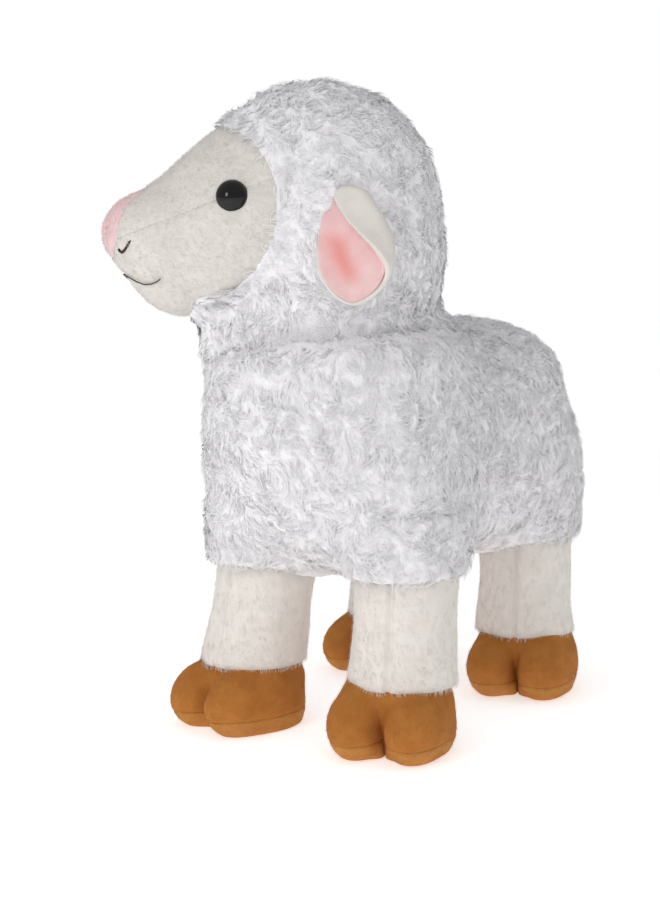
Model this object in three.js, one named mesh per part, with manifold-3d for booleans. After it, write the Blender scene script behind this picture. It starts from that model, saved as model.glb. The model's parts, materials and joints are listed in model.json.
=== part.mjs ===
// Plush sheep: a standing stuffed toy of curly fur, short plush and suede-like hoof cloth.
// Millimetres, +Z up. The sheep faces -Y, so its own left side is at +X, and it stands on z = 0.
// Every cloth piece is a thin shell over its own wad of filling. The soft seams at the neck, hips,
// ears and tail are built as round seats, so that each limb can flex about its seam.
import * as THREE from "three";
import { mergeVertices } from "three/addons/utils/BufferGeometryUtils.js";
import Module from "manifold-3d";

const wasm = await Module();
wasm.setup();

// Clearances
const seamGap = 0.4; // between two pieces that are sewn or pressed together
const seatGap = 0.5; // between a limb and the seat that it flexes in
const cutOverrun = 60; // how far a cutting shape runs past what it cuts

// Legs
const legTrack = 86; // between the left and right legs
const legBase = 136; // between the front and hind legs
const legDiameter = 51;
const legWaistDiameter = 49;
const legWaistHeight = 60;
const hipHeight = 100;
const hemDrop = 15; // of the lower edge of the body fur round the legs, below the hips
const hemWidth = 4; // of body fur beside the top of each leg
const hemLength = 7; // of body fur in front of it and behind it
const hemRounding = 4; // of the hem's lower edge
const thighRise = 14; // of the middle of the fullness over each leg, above the hip
const thighDepth = 72;
const legSwing = 12; // degrees that a leg flexes forwards or backwards
const legCloth = 3.2;

// Hooves
const hoofWidth = 58;
const hoofLength = 66;
const hoofHeight = 35;
const hoofForward = 6; // of its middle in front of the leg
const toeOut = 14; // degrees
const hoofCloth = 2.6;
const soleSeamHeight = 12;
const soleFlat = 0.5; // cut off where the sole rests on the ground
const sleeveHemDrop = 1; // of the leg cloth's lower edge below the hoof's top
const sleeveHem = hoofHeight - sleeveHemDrop;
// Toes of a hoof: middle, then half sizes, as shares of the hoof's half width, half length and height
const toeShares = [0.47, -0.2, 0.42, 0.53, 0.8, 0.52];
// Heel, from the top: heights as shares of the hoof's, and half widths as shares of its half width
const heelShares = [
  [1.06, 0.82],
  [0.97, 0.9],
  [0.68, 0.98],
  [0.22, 0.98],
  [0, 0.92],
];
const heelLengthShare = 0.97; // of its width
const ankleShare = 0.5; // of the hoof's height, where the leg's filling ends

// Torso, as the outside of the curly fur
const torsoWidth = 140;
const torsoLength = 208;
const torsoDepth = 118; // from back to belly
const torsoMidRise = 40; // of its middle above the hips
const torsoMidHeight = hipHeight + torsoMidRise;
const torsoBlend = 22; // how softly its masses run into one another
const furCloth = 3.5; // backing and packed pile
// Torso masses: middle (side, back, up), then half sizes, as shares of the torso's half sizes
const torsoMassShares = [
  [0, -0.4, 0, 0.97, 0.56, 0.94],
  [0, 0.05, 0, 1, 0.75, 1],
  [0, 0.46, 0.06, 0.96, 0.54, 0.95],
];
const torsoPower = 2.6; // how straight-sided the torso is
const torsoHeartShare = 0.125; // of its depth, that the middle of its rays stands above its own
// Width of the fur round a leg where it meets the torso's middle, as a share of its width at the hem
const hemTopShare = 0.9;
// Where a quarter round passes its middle
const hemCornerShare = Math.SQRT1_2;

// Neck: a stuffed column whose bowl carries the head
const neckWidth = 129;
const neckForward = 56; // in front of the middle of the legs
const neckPivotRise = 96; // above the torso's middle
const neckPivotHeight = torsoMidHeight + neckPivotRise;
const neckColumnShare = 0.25; // of its width, that its middle lies below the pivot
const neckPower = 3; // how straight-sided the neck and thighs are
const neckBallRadius = 57; // round underside of the head
const neckBallProud = 0.1; // that the round underside stands out of the head's own form
const neckRimDrop = 35; // of the collar's rim below the pivot
const neckRimSlope = 5; // degrees that the rim falls towards the chest
const neckWadRadius = 30;
const neckWadDepth = 24; // below the head
const neckWadHeight = 45; // before its top is hollowed by the head
const neckSeamDrop = 30; // of the seam under the head below the pivot
const headTurn = -43; // degrees: the head looks to the sheep's right

// Head, about the neck pivot
const craniumWidth = 108;
const craniumLength = 114;
const craniumHeight = 110;
const craniumForward = 9; // of its middle from the pivot
const craniumRise = 29; // of its middle above the pivot
const faceWidth = 82;
const faceHeight = 82;
const faceLength = 76;
const faceForward = 52;
const faceRise = 14;
const muzzleWidth = 50;
const muzzleHeight = 53;
const muzzleLength = 54;
const muzzleForward = 87;
const muzzleRise = 5;
const headBlend = 14;
const plushCloth = 3.5; // short plush of the face, with its pile
const faceSeamRadius = 46; // the fur begins where this circle crosses the head's side
const faceSeamForward = 85;
const faceSeamRise = 25;
const chinSeamForward = 78; // the face panels run back to here under the chin
const bridgeSeamSlope = 22; // degrees: the seam falls from the eye towards the nose
const nosePatchHeight = 33;
const nosePatchWidth = 22;
const nosePatchRise = -1; // of its lower tip above the pivot
// Outline of the nose patch as shares of its width and height, from its lower tip
const noseOutlineShares = [
  [0, 0],
  [0.34, 0.16],
  [0.5, 0.46],
  [0.42, 0.8],
  [0.2, 1],
];

// Eyes: plastic domes with a shank, held by a washer behind the cloth
const eyeDiameter = 15;
const eyeDomeHeight = 5.5;
const eyeShankDiameter = 4;
const eyeShankLength = 14;
const eyeSeatDepth = 1.2; // that the dome sinks into the plush
const eyeForward = 62;
const eyeRise = 27;
const eyeWasherDiameter = 13;
const eyeWasherThickness = 2;

// Embroidery
const threadDiameter = 1.2;
const nostrilWidth = 15;
const nostrilHeight = 6;
const nostrilRise = 2.5; // of their meeting point above the pivot
const mouthWidth = 38;
const mouthRise = -11; // of the mouth's middle and corners above the pivot
const mouthDip = 2.5; // of each half between them
// Places along each half of the nostrils and the mouth, as shares of its reach from the middle
const nostrilShares = [0.06, 0.35, 0.7, 1];
const mouthShares = [0.04, 0.3, 0.55, 0.8, 1];

// Ears
const earLength = 52;
const earWidth = 46; // along the cloth, before it is cupped
const earCloth = 2.6;
const earLiningCloth = 1.4;
const earLiningGap = 0.7; // the lining lies loosely in the cup
const earRootRadius = 3.6; // pleated root that the ear flexes about
const earRootLength = 15;
const earRise = 26;
const earForward = 1; // of the root from the pivot
const earSplay = 16; // degrees that the hanging ear stands off from straight down
const earFacing = 45; // degrees that the cup turns from outwards to forwards
const earCurlRoot = 78; // degrees that each half of the cloth curls round at the root
const earCurlTip = 26; // degrees that it does at the tip
// Outline of the ear: half width as shares of the ear's half width, at even steps from root to tip
const earOutlineShares = [0.42, 0.64, 0.84, 0.97, 1, 0.84, 0.36];
// The lining's width at the tip is never less than this share of the ear's
const earTipShare = 0.25;

// Tail
const tailLength = 44;
const tailWidth = 26;
const tailThickness = 17;
const tailRise = 28; // of its root above the torso's middle
const tailPress = 0.8; // of its root towards the flat cloth behind it
const tailSplay = 20; // degrees that it stands off from straight down
// Tail masses, from root to tip: middle, then half sizes, as shares of the tail's half sizes
const tailMassShares = [
  [0, 0, 0, 0.62, 0.8, 0.3],
  [0, 0, -0.8, 1, 1, 0.7],
  [0, 0, -1.4, 0.82, 0.86, 0.56],
];

// How finely the round forms are cut: splits of a ball's first faces, sides of a round, and steps
const torsoSplitCount = 4;
const headSplitCount = 4;
const hoofSplitCount = 2;
const tailSplitCount = 2;
const seatSplitCount = 3;
const roundSideCount = 14;
const smallSideCount = 12;
const domeStepCount = 3;
const domeStepAngle = 26; // degrees
const eyeStepCount = 4;
const threadSideCount = 5;
const threadStepCount = 2; // between two places along a thread
const earColumnCount = 7;
const rayStepCount = 80;
const rayHalvingCount = 24;
// How far the corners of a round with flat sides stand outside a round that its flats touch
const smallCornerShare = 1 / Math.cos(Math.PI / smallSideCount);

// Materials
const cloth = (color, roughness) => new THREE.MeshStandardMaterial({ color, roughness, metalness: 0 });
const curlyFur = cloth("#f4f3f5", 0.95);
const shortPlush = cloth("#f1ebe0", 0.9);
const pinkPlush = cloth("#f3c3c4", 0.9);
const hoofSuede = cloth("#b9722e", 0.85);
const polyesterFibre = cloth("#fafafa", 1);
const blackPlastic = new THREE.MeshStandardMaterial({ color: "#0b0a0a", roughness: 0.12, metalness: 0 });
const whitePlastic = new THREE.MeshStandardMaterial({ color: "#e6e6e2", roughness: 0.5, metalness: 0 });
const brownThread = cloth("#3a2b28", 0.7);

// Small helpers
const radians = THREE.MathUtils.degToRad;
const at = (x, y, z) => new THREE.Vector3(x, y, z);
const upAxis = at(0, 0, 1);

// A closed geometry as a solid that can be joined and cut.
function solidOf(geometry) {
  const bare = geometry.clone();
  bare.deleteAttribute("normal");
  bare.deleteAttribute("uv");
  const merged = mergeVertices(bare);
  return new wasm.Manifold(
    new wasm.Mesh({
      numProp: 3,
      vertProperties: new Float32Array(merged.attributes.position.array),
      triVerts: new Uint32Array(merged.index.array),
    }),
  );
}

// A solid as a named mesh in a group.
function addPiece(group, name, solid, material) {
  const made = solid.getMesh();
  const geometry = new THREE.BufferGeometry();
  geometry.setAttribute("position", new THREE.BufferAttribute(new Float32Array(made.vertProperties), 3));
  geometry.setIndex(new THREE.BufferAttribute(new Uint32Array(made.triVerts), 1));
  const mesh = new THREE.Mesh(geometry, material);
  mesh.name = name;
  group.add(mesh);
}

// A group with its origin at a joint.
function jointGroup(parent, name, place, turn = 0) {
  const group = new THREE.Group();
  group.name = name;
  group.position.copy(place);
  group.rotation.z = radians(turn);
  parent.add(group);
  return group;
}

// Distance to one mass along the line to its middle. Negative is inside. A mass is oval seen from
// above, and seen from the side it is an oval, or squarer where its power is above two.
function massDistance(point, { centre, half, power = 2 }) {
  const q = point.clone().sub(centre);
  const level = Math.hypot(q.x / half.x, q.y / half.y);
  const near = (level ** power + Math.abs(q.z / half.z) ** power) ** (1 / power);
  return near > 0 ? q.length() * (1 - 1 / near) : -half.x;
}

// The lesser of two distances, rounded where they meet.
function softLesser(a, b, blend) {
  const share = Math.max(blend - Math.abs(a - b), 0) / blend;
  return Math.min(a, b) - (share * share * blend) / 4;
}

// A stuffed form: several masses run together. Its skin is found by rays from its middle.
function stuffedForm(masses, blend, middle, stretch, detail) {
  const joined = (a, b) => softLesser(a, b, blend);
  const field = (point) => masses.map((m) => massDistance(point, m)).reduce(joined);
  const reach = Math.max(...masses.map((m) => m.centre.distanceTo(middle) + m.half.length()));
  return { field, middle, stretch, detail, reach };
}

// Where a ray from the form's middle leaves the form, a given depth below its skin.
function surfacePoint(form, direction, depth = 0) {
  const ray = direction.clone().normalize();
  const place = (distance) => form.middle.clone().addScaledVector(ray, distance);
  let outside = form.reach;
  while (outside > 0 && form.field(place(outside)) > -depth) outside -= form.reach / rayStepCount;
  let inside = Math.max(outside, 0);
  outside = inside + form.reach / rayStepCount;
  for (let halving = 0; halving < rayHalvingCount; halving++) {
    const half = (inside + outside) / 2;
    if (form.field(place(half)) > -depth) outside = half;
    else inside = half;
  }
  return place(inside);
}

// The outward direction of a form's skin at a place.
function outwardAt(form, place) {
  const beside = (axis, way) => form.field(place.clone().addScaledVector(axis, way * seamGap));
  const slope = (axis) => beside(axis, 1) - beside(axis, -1);
  return at(slope(at(1, 0, 0)), slope(at(0, 1, 0)), slope(upAxis)).normalize();
}

// The skin of a stuffed form as a solid, a given depth below the outside.
function skin(form, depth = 0, detail = form.detail) {
  const ball = new THREE.IcosahedronGeometry(1, detail);
  const places = ball.attributes.position;
  const direction = at(0, 0, 0);
  for (let i = 0; i < places.count; i++) {
    direction.fromBufferAttribute(places, i).multiply(form.stretch);
    const found = surfacePoint(form, direction, depth);
    places.setXYZ(i, found.x, found.y, found.z);
  }
  return solidOf(ball);
}

// One mass alone, a given depth below the outside.
function pillow(mass, depth) {
  const stretch = mass.half.clone().divideScalar(mass.half.x);
  return skin(stuffedForm([mass], seamGap, mass.centre, stretch, hoofSplitCount), depth);
}

// A ball whose flats all lie outside its radius, for cutting round seats.
function seatBall(radius, detail = seatSplitCount) {
  const ball = new THREE.IcosahedronGeometry(radius, detail).deleteAttribute("uv");
  const corner = [at(0, 0, 0), at(0, 0, 0), at(0, 0, 0)];
  let flat = radius;
  for (let i = 0; i < ball.attributes.position.count; i += 3) {
    corner.forEach((c, k) => c.fromBufferAttribute(ball.attributes.position, i + k));
    flat = Math.min(flat, new THREE.Triangle(...corner).getMidpoint(at(0, 0, 0)).length());
  }
  return solidOf(ball.scale(radius / flat, radius / flat, radius / flat));
}

// A solid from a stack of level oval rings, from top to bottom. Each ring is [height, half width,
// half length, part], where part moves its front and back halves apart.
function ringStack(rings, sides = roundSideCount) {
  const places = [0, 0, rings[0][0]];
  for (const [height, halfWidth, halfLength, part = 0] of rings)
    for (let k = 0; k < sides; k++) {
      const angle = (Math.PI * (2 * k + 1)) / sides;
      const side = Math.sign(Math.sin(angle));
      places.push(halfWidth * Math.cos(angle), halfLength * Math.sin(angle) + side * part, height);
    }
  places.push(0, 0, rings[rings.length - 1][0]);
  const faces = [];
  const last = places.length / 3 - 1;
  const corner = (ring, k) => 1 + ring * sides + (k % sides);
  for (let k = 0; k < sides; k++) {
    faces.push(0, corner(0, k), corner(0, k + 1));
    for (let ring = 0; ring + 1 < rings.length; ring++) {
      faces.push(corner(ring, k), corner(ring + 1, k), corner(ring + 1, k + 1));
      faces.push(corner(ring, k), corner(ring + 1, k + 1), corner(ring, k + 1));
    }
    faces.push(last, corner(rings.length - 1, k + 1), corner(rings.length - 1, k));
  }
  const stack = new THREE.BufferGeometry();
  stack.setAttribute("position", new THREE.Float32BufferAttribute(places, 3));
  stack.setIndex(faces);
  return solidOf(stack);
}

// Rings of a dome, from near its top almost down to its widest.
function domeRings(rise, halfWidth, halfLength) {
  return Array.from({ length: domeStepCount }, (_, i) => {
    const angle = radians(domeStepAngle * (domeStepCount - i));
    return [rise * Math.sin(angle), halfWidth * Math.cos(angle), halfLength * Math.cos(angle)];
  });
}

// A cylinder or cone along +Z, standing on its base.
function post(bottomRadius, topRadius, height, sides = roundSideCount) {
  const shape = new THREE.CylinderGeometry(topRadius, bottomRadius, height, sides);
  return shape.rotateX(Math.PI / 2).translate(0, 0, height / 2);
}

// Moves a geometry so that its +Z points along a direction from a place.
function placed(geometry, place, direction) {
  const turn = new THREE.Quaternion().setFromUnitVectors(upAxis, direction.clone().normalize());
  return geometry.applyQuaternion(turn).translate(place.x, place.y, place.z);
}

// A round thread through a list of places.
function thread(places) {
  const curve = new THREE.CatmullRomCurve3(places);
  const section = new THREE.Shape();
  for (let k = 0; k < threadSideCount; k++) {
    const angle = (2 * Math.PI * k) / threadSideCount;
    const x = (threadDiameter / 2) * Math.cos(angle);
    const y = (threadDiameter / 2) * Math.sin(angle);
    if (k === 0) section.moveTo(x, y);
    else section.lineTo(x, y);
  }
  const steps = threadStepCount * places.length;
  return solidOf(new THREE.ExtrudeGeometry(section, { steps, extrudePath: curve }));
}

const sides = [
  { name: "left", side: 1 },
  { name: "right", side: -1 },
];

// Hips, in the order in which the legs are named
const legs = [
  { name: "front_left", side: 1, end: -1 },
  { name: "front_right", side: -1, end: -1 },
  { name: "hind_left", side: 1, end: 1 },
  { name: "hind_right", side: -1, end: 1 },
];
const hipOf = (leg) => at((leg.side * legTrack) / 2, (leg.end * legBase) / 2, hipHeight);

const torsoHalf = at(torsoWidth / 2, torsoLength / 2, torsoDepth / 2);

function torsoForm() {
  const middle = at(0, 0, torsoMidHeight);
  const masses = torsoMassShares.map(([x, y, z, halfX, halfY, halfZ]) => ({
    centre: at(x, y, z).multiply(torsoHalf).add(middle),
    half: at(halfX, halfY, halfZ).multiply(torsoHalf),
    power: torsoPower,
  }));
  const thigh = legDiameter / 2 + hemWidth;
  for (const leg of legs) {
    const inward = at((-leg.side * hemWidth) / 2, (-leg.end * hemWidth) / 2, thighRise);
    const centre = hipOf(leg).add(inward);
    masses.push({ centre, half: at(thigh, thigh + hemWidth, thighDepth / 2), power: neckPower });
  }
  const columnHalf = (neckPivotHeight - torsoMidHeight) / 2 + neckWidth / 2;
  masses.push({
    centre: at(0, -neckForward, neckPivotHeight - neckWidth * neckColumnShare),
    half: at(neckWidth / 2, neckWidth / 2, columnHalf),
    power: neckPower,
  });
  const heart = at(0, -neckForward / 2, torsoMidHeight + torsoDepth * torsoHeartShare);
  return stuffedForm(masses, torsoBlend, heart, at(1, torsoLength / torsoWidth, 1), torsoSplitCount);
}

// Everything above the collar's rim, lowered by a given depth
function overRim(depth) {
  const wide = neckWidth + cutOverrun;
  const high = torsoDepth + cutOverrun;
  const above = new THREE.BoxGeometry(wide, wide, high).translate(0, 0, high / 2 - depth);
  above.rotateX(radians(neckRimSlope)).translate(0, -neckForward, neckPivotHeight - neckRimDrop);
  return solidOf(above);
}

// The bowl that the head sits in and the pocket of its wad
function neckSeat(extra) {
  const bowl = seatBall(neckBallRadius + seatGap + extra);
  const reach = seatGap + extra;
  const pocket = post(neckWadRadius + reach, neckWadRadius + reach, neckWadHeight + reach);
  pocket.translate(0, 0, -neckBallRadius - neckWadDepth - reach);
  return bowl.add(solidOf(pocket)).translate([0, -neckForward, neckPivotHeight]);
}

// The space that a leg sweeps as it flexes, about its hip
function hipSeat(extra) {
  const width = legDiameter / 2 + seatGap + extra;
  const rise = width / Math.cos(radians(domeStepAngle / 2));
  const length = width / Math.cos(radians(legSwing));
  const flare = hipHeight * Math.tan(radians(legSwing));
  const dome = domeRings(rise, width, length);
  return ringStack([...dome, [0, width, length], [-hipHeight, width, length, flare]]);
}

// The fur round the top of a leg, about its hip: widest at the hem, and lost in the torso above
function hemFur(depth) {
  const width = legDiameter / 2 + hemWidth - depth;
  const length = legDiameter / 2 + hemLength - depth;
  const hem = depth - hemDrop;
  const corner = hemRounding * (1 - hemCornerShare);
  return ringStack([
    [thighRise, width * hemTopShare, length * hemTopShare],
    [hem + hemRounding, width, length],
    [hem + corner, width - corner, length - corner],
    [hem, width - hemRounding, length - hemRounding],
  ]);
}

// A torso skin with the fur round its legs
function torsoSolid(form, depth) {
  const hems = legs.map((leg) => hemFur(depth).translate(hipOf(leg).toArray()));
  return hems.reduce((all, hem) => all.add(hem), skin(form, depth));
}

function buildTorso(group) {
  const form = torsoForm();
  const hollow = torsoSolid(form, furCloth).subtract(overRim(furCloth));
  const cover = torsoSolid(form, 0).subtract(hollow).subtract(overRim(0));
  const filling = torsoSolid(form, furCloth + seamGap).subtract(overRim(furCloth + seamGap));
  const hips = (extra) => legs.map((leg) => hipSeat(extra).translate(hipOf(leg).toArray()));
  const seats = (extra) => [...hips(extra), neckSeat(extra)];
  const cut = (solid, extra) => seats(extra).reduce((left, seat) => left.subtract(seat), solid);
  addPiece(group, "body_cover", cut(cover, 0), curlyFur);
  addPiece(group, "body_filling", cut(filling, seamGap), polyesterFibre);
  return form;
}

// Head form about the neck pivot
function headForm() {
  const mass = (forward, rise, width, length, height) => ({
    centre: at(0, -forward, rise),
    half: at(width / 2, length / 2, height / 2),
  });
  const masses = [
    mass(0, 0, 2 * neckBallRadius, 2 * neckBallRadius, 2 * neckBallRadius),
    mass(craniumForward, craniumRise, craniumWidth, craniumLength, craniumHeight),
    mass(faceForward, faceRise, faceWidth, faceLength, faceHeight),
    mass(muzzleForward, muzzleRise, muzzleWidth, muzzleLength, muzzleHeight),
  ];
  const middle = at(0, -faceForward / 2, craniumRise / 2);
  return stuffedForm(masses, headBlend, middle, at(1, craniumLength / faceWidth, 1), headSplitCount);
}

// The head, a given depth below its outside, with its underside left exactly round below the neck seam
function headSolid(form, depth) {
  const wide = craniumLength + cutOverrun;
  const below = new THREE.BoxGeometry(wide, wide, wide).translate(0, 0, -wide / 2 - neckSeamDrop + depth);
  const ball = seatBall(neckBallRadius + neckBallProud - depth, torsoSplitCount);
  return skin(form, depth).subtract(solidOf(below).subtract(ball));
}

// The region in front of the fur: a drum across the head, and everything in front of the chin seam
function faceRegion(extra) {
  const wide = craniumWidth + cutOverrun;
  const drum = post(faceSeamRadius + extra, faceSeamRadius + extra, wide, 2 * roundSideCount);
  drum.translate(0, 0, -wide / 2).rotateY(Math.PI / 2).translate(0, -faceSeamForward, faceSeamRise);
  const front = new THREE.BoxGeometry(wide, wide, wide).translate(0, -wide / 2 - chinSeamForward + extra, 0);
  return solidOf(drum).add(solidOf(front));
}

// Everything above the seam from the eye to the nose
function bridgeRegion(extra) {
  const high = craniumHeight + cutOverrun;
  const slab = new THREE.BoxGeometry(craniumWidth + cutOverrun, craniumLength + cutOverrun, high);
  slab.translate(0, 0, high / 2 - extra);
  return solidOf(slab.rotateX(radians(bridgeSeamSlope)).translate(0, -eyeForward, eyeRise));
}

// Everything on one side of the sheep's middle plane
function sideRegion(side) {
  const wide = craniumWidth + cutOverrun;
  const long = 2 * (craniumLength + cutOverrun);
  const slab = new THREE.BoxGeometry(wide, long, 2 * (craniumHeight + cutOverrun));
  return solidOf(slab.translate(side * (wide / 2 + seamGap / 2), 0, 0));
}

function noseRegion(extra) {
  const width = nosePatchWidth + 2 * extra;
  const height = nosePatchHeight + 2 * extra;
  const right = noseOutlineShares.map(([x, z]) => [x * width, z * height - extra]);
  const left = right.slice(1).reverse();
  const outline = new THREE.Shape();
  outline.moveTo(...right[0]);
  right.slice(1).forEach((p) => outline.lineTo(...p));
  left.forEach(([x, z]) => outline.lineTo(-x, z));
  const depth = muzzleForward + cutOverrun;
  const bar = new THREE.ExtrudeGeometry(outline, { depth, bevelEnabled: false });
  bar.rotateX(Math.PI / 2).translate(0, -muzzleForward, nosePatchRise);
  return solidOf(bar);
}

// Where an eye sits, and the way that it looks
function eyePlace(form, side) {
  const aim = at((side * faceWidth) / 2, -eyeForward, eyeRise).sub(form.middle);
  const place = surfacePoint(form, aim);
  return { place, look: outwardAt(form, place) };
}

function eyeDome(place, look) {
  const profile = [];
  for (let row = 0; row < eyeStepCount; row++) {
    const angle = (Math.PI / 2) * (row / eyeStepCount);
    profile.push(new THREE.Vector2((eyeDiameter / 2) * Math.cos(angle), eyeDomeHeight * Math.sin(angle)));
  }
  const shank = eyeShankDiameter / 2;
  const outline = [
    new THREE.Vector2(0, -eyeShankLength),
    new THREE.Vector2(shank, -eyeShankLength),
    new THREE.Vector2(shank, 0),
    ...profile,
    new THREE.Vector2(0, eyeDomeHeight),
  ];
  const lathe = new THREE.LatheGeometry(outline, smallSideCount).rotateX(Math.PI / 2);
  const back = place.clone().addScaledVector(look, -eyeSeatDepth + seamGap);
  return solidOf(placed(lathe, back, look));
}

// The recess, shank hole and washer pocket that an eye needs
function eyeSeat(place, look) {
  const back = place.clone().addScaledVector(look, -eyeSeatDepth);
  const recessRadius = (eyeDiameter / 2 + seamGap) * smallCornerShare;
  const holeRadius = (eyeShankDiameter / 2 + seamGap) * smallCornerShare;
  const recess = post(recessRadius, recessRadius, eyeDomeHeight + cutOverrun, smallSideCount);
  const hole = post(holeRadius, holeRadius, eyeShankLength + eyeDomeHeight, smallSideCount);
  hole.translate(0, 0, -eyeShankLength - seamGap);
  return solidOf(placed(recess, back, look)).add(solidOf(placed(hole, back.clone(), look)));
}

function washerSolid(place, look, extra) {
  const outer = eyeWasherDiameter / 2 + extra;
  const inner = extra > 0 ? 0 : eyeShankDiameter / 2 + seamGap;
  const ring = [
    new THREE.Vector2(inner, -extra),
    new THREE.Vector2(outer, -extra),
    new THREE.Vector2(outer, eyeWasherThickness + extra),
    new THREE.Vector2(inner, eyeWasherThickness + extra),
    new THREE.Vector2(inner, -extra),
  ];
  if (extra > 0) ring.pop();
  const lathe = new THREE.LatheGeometry(ring, smallSideCount).rotateX(Math.PI / 2);
  const depth = plushCloth + eyeSeatDepth + eyeWasherThickness + 2 * seamGap;
  return solidOf(placed(lathe, place.clone().addScaledVector(look, -depth), look));
}

// A thread laid on the face, through places given by their side and height
function faceThread(form, points) {
  const lift = threadDiameter / 2 + seamGap / 2;
  const places = points.map(([x, z]) => {
    const found = surfacePoint(form, at(x, -muzzleForward - muzzleLength / 2, z).sub(form.middle));
    return found.addScaledVector(outwardAt(form, found), lift);
  });
  return thread(places);
}

function buildStitches(group, form) {
  for (const { name, side } of sides) {
    const nostril = nostrilShares.map((share) => [
      (side * share * nostrilWidth) / 2,
      nostrilRise + share * share * nostrilHeight,
    ]);
    const mouth = mouthShares.map((share) => [
      (side * share * mouthWidth) / 2,
      mouthRise - mouthDip * Math.sin(Math.PI * share),
    ]);
    addPiece(group, `nostril_stitch_${name}`, faceThread(form, nostril), brownThread);
    addPiece(group, `mouth_stitch_${name}`, faceThread(form, mouth), brownThread);
  }
}

function buildHead(group) {
  const form = headForm();
  const shell = headSolid(form, 0).subtract(headSolid(form, plushCloth));
  const eyes = sides.map(({ name, side }) => ({ name, ...eyePlace(form, side) }));
  const eyeSeats = eyes.map((e) => eyeSeat(e.place, e.look)).reduce((a, b) => a.add(b));
  const washers = eyes.map((e) => washerSolid(e.place, e.look, seamGap)).reduce((a, b) => a.add(b));

  addPiece(group, "head_cover", shell.subtract(faceRegion(seamGap)), curlyFur);
  const face = shell.intersect(faceRegion(0)).subtract(noseRegion(seamGap)).subtract(eyeSeats);
  addPiece(group, "face_bridge", face.intersect(bridgeRegion(0)), shortPlush);
  const lower = face.subtract(bridgeRegion(seamGap));
  addPiece(group, "cheek_left", lower.intersect(sideRegion(1)), shortPlush);
  addPiece(group, "cheek_right", lower.intersect(sideRegion(-1)), shortPlush);
  addPiece(group, "nose_patch", shell.intersect(noseRegion(0)), pinkPlush);
  const filling = headSolid(form, plushCloth + seamGap).subtract(eyeSeats).subtract(washers);
  addPiece(group, "head_filling", filling, polyesterFibre);
  for (const e of eyes) {
    addPiece(group, `eye_${e.name}`, eyeDome(e.place, e.look), blackPlastic);
    addPiece(group, `eye_washer_${e.name}`, washerSolid(e.place, e.look, 0), whitePlastic);
  }
  buildStitches(group, form);
  return form;
}

// A wad of filling that stands in the neck, turns with the head and lets it nod
function buildNeck(group) {
  const wad = post(neckWadRadius, neckWadRadius, neckWadHeight);
  wad.translate(0, 0, -neckBallRadius - neckWadDepth);
  addPiece(group, "neck_filling", solidOf(wad).subtract(seatBall(neckBallRadius + seatGap)), polyesterFibre);
}

// A curled sheet of cloth between two depths below the cup's back. It hangs along -Z, with its
// hollow towards +X.
function earSheet(nearDepth, farDepth, inset) {
  const rows = earOutlineShares.length;
  const front = [];
  const back = [];
  earOutlineShares.forEach((share, row) => {
    const along = row / (rows - 1);
    const half = share * (earWidth / 2);
    const curl = radians(earCurlRoot + (earCurlTip - earCurlRoot) * along);
    const bend = half / curl;
    const spread = curl * Math.max(1 - inset / half, earTipShare);
    const height = -earRootRadius / 2 - inset - along * (earLength - earRootRadius / 2 - 2 * inset);
    const place = (angle, reach) => at(bend - reach * Math.cos(angle), reach * Math.sin(angle), height);
    for (let k = 0; k < earColumnCount; k++) {
      const angle = spread * ((2 * k) / (earColumnCount - 1) - 1);
      front.push(place(angle, bend - farDepth));
      back.push(place(angle, bend - nearDepth));
    }
  });
  return closedSheet(front, back, rows, earColumnCount);
}

// A closed solid between two grids of places
function closedSheet(front, back, rows, columns) {
  const places = [...front, ...back].flatMap((p) => p.toArray());
  const other = rows * columns;
  const faces = [];
  const quad = (a, b, c, d) => faces.push(a, b, c, a, c, d);
  for (let r = 0; r + 1 < rows; r++)
    for (let k = 0; k + 1 < columns; k++) {
      const corner = r * columns + k;
      quad(corner, corner + columns, corner + columns + 1, corner + 1);
      quad(other + corner, other + corner + 1, other + corner + columns + 1, other + corner + columns);
    }
  const rim = [];
  for (let k = 0; k < columns; k++) rim.push(k);
  for (let r = 1; r < rows; r++) rim.push(r * columns + columns - 1);
  for (let k = columns - 2; k >= 0; k--) rim.push((rows - 1) * columns + k);
  for (let r = rows - 2; r > 0; r--) rim.push(r * columns);
  rim.forEach((corner, i) => {
    const next = rim[(i + 1) % rim.length];
    quad(corner, next, other + next, other + corner);
  });
  const sheet = new THREE.BufferGeometry();
  sheet.setAttribute("position", new THREE.Float32BufferAttribute(places, 3));
  sheet.setIndex(faces);
  return solidOf(sheet);
}

function buildEar(head, form, name, side) {
  const aim = at((side * craniumWidth) / 2, -earForward, earRise);
  const root = surfacePoint(form, aim.clone().sub(form.middle));
  const place = root.addScaledVector(outwardAt(form, root), earRootRadius + seatGap);
  const group = jointGroup(head, `ear_${name}_joint`, place);
  group.rotation.set(0, -side * radians(earSplay), 0);
  const knuckle = post(earRootRadius, earRootRadius, earRootLength);
  knuckle.translate(0, 0, -earRootLength / 2).rotateX(Math.PI / 2);
  const lining = earCloth + earLiningGap;
  const turned = (solid) => (side > 0 ? solid : solid.mirror([1, 0, 0])).rotate([0, 0, -side * earFacing]);
  const outer = turned(earSheet(0, earCloth, 0)).add(solidOf(knuckle));
  addPiece(group, `ear_outer_${name}`, outer, shortPlush);
  const inner = turned(earSheet(lining, lining + earLiningCloth, earCloth));
  addPiece(group, `ear_lining_${name}`, inner, pinkPlush);
}

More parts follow.
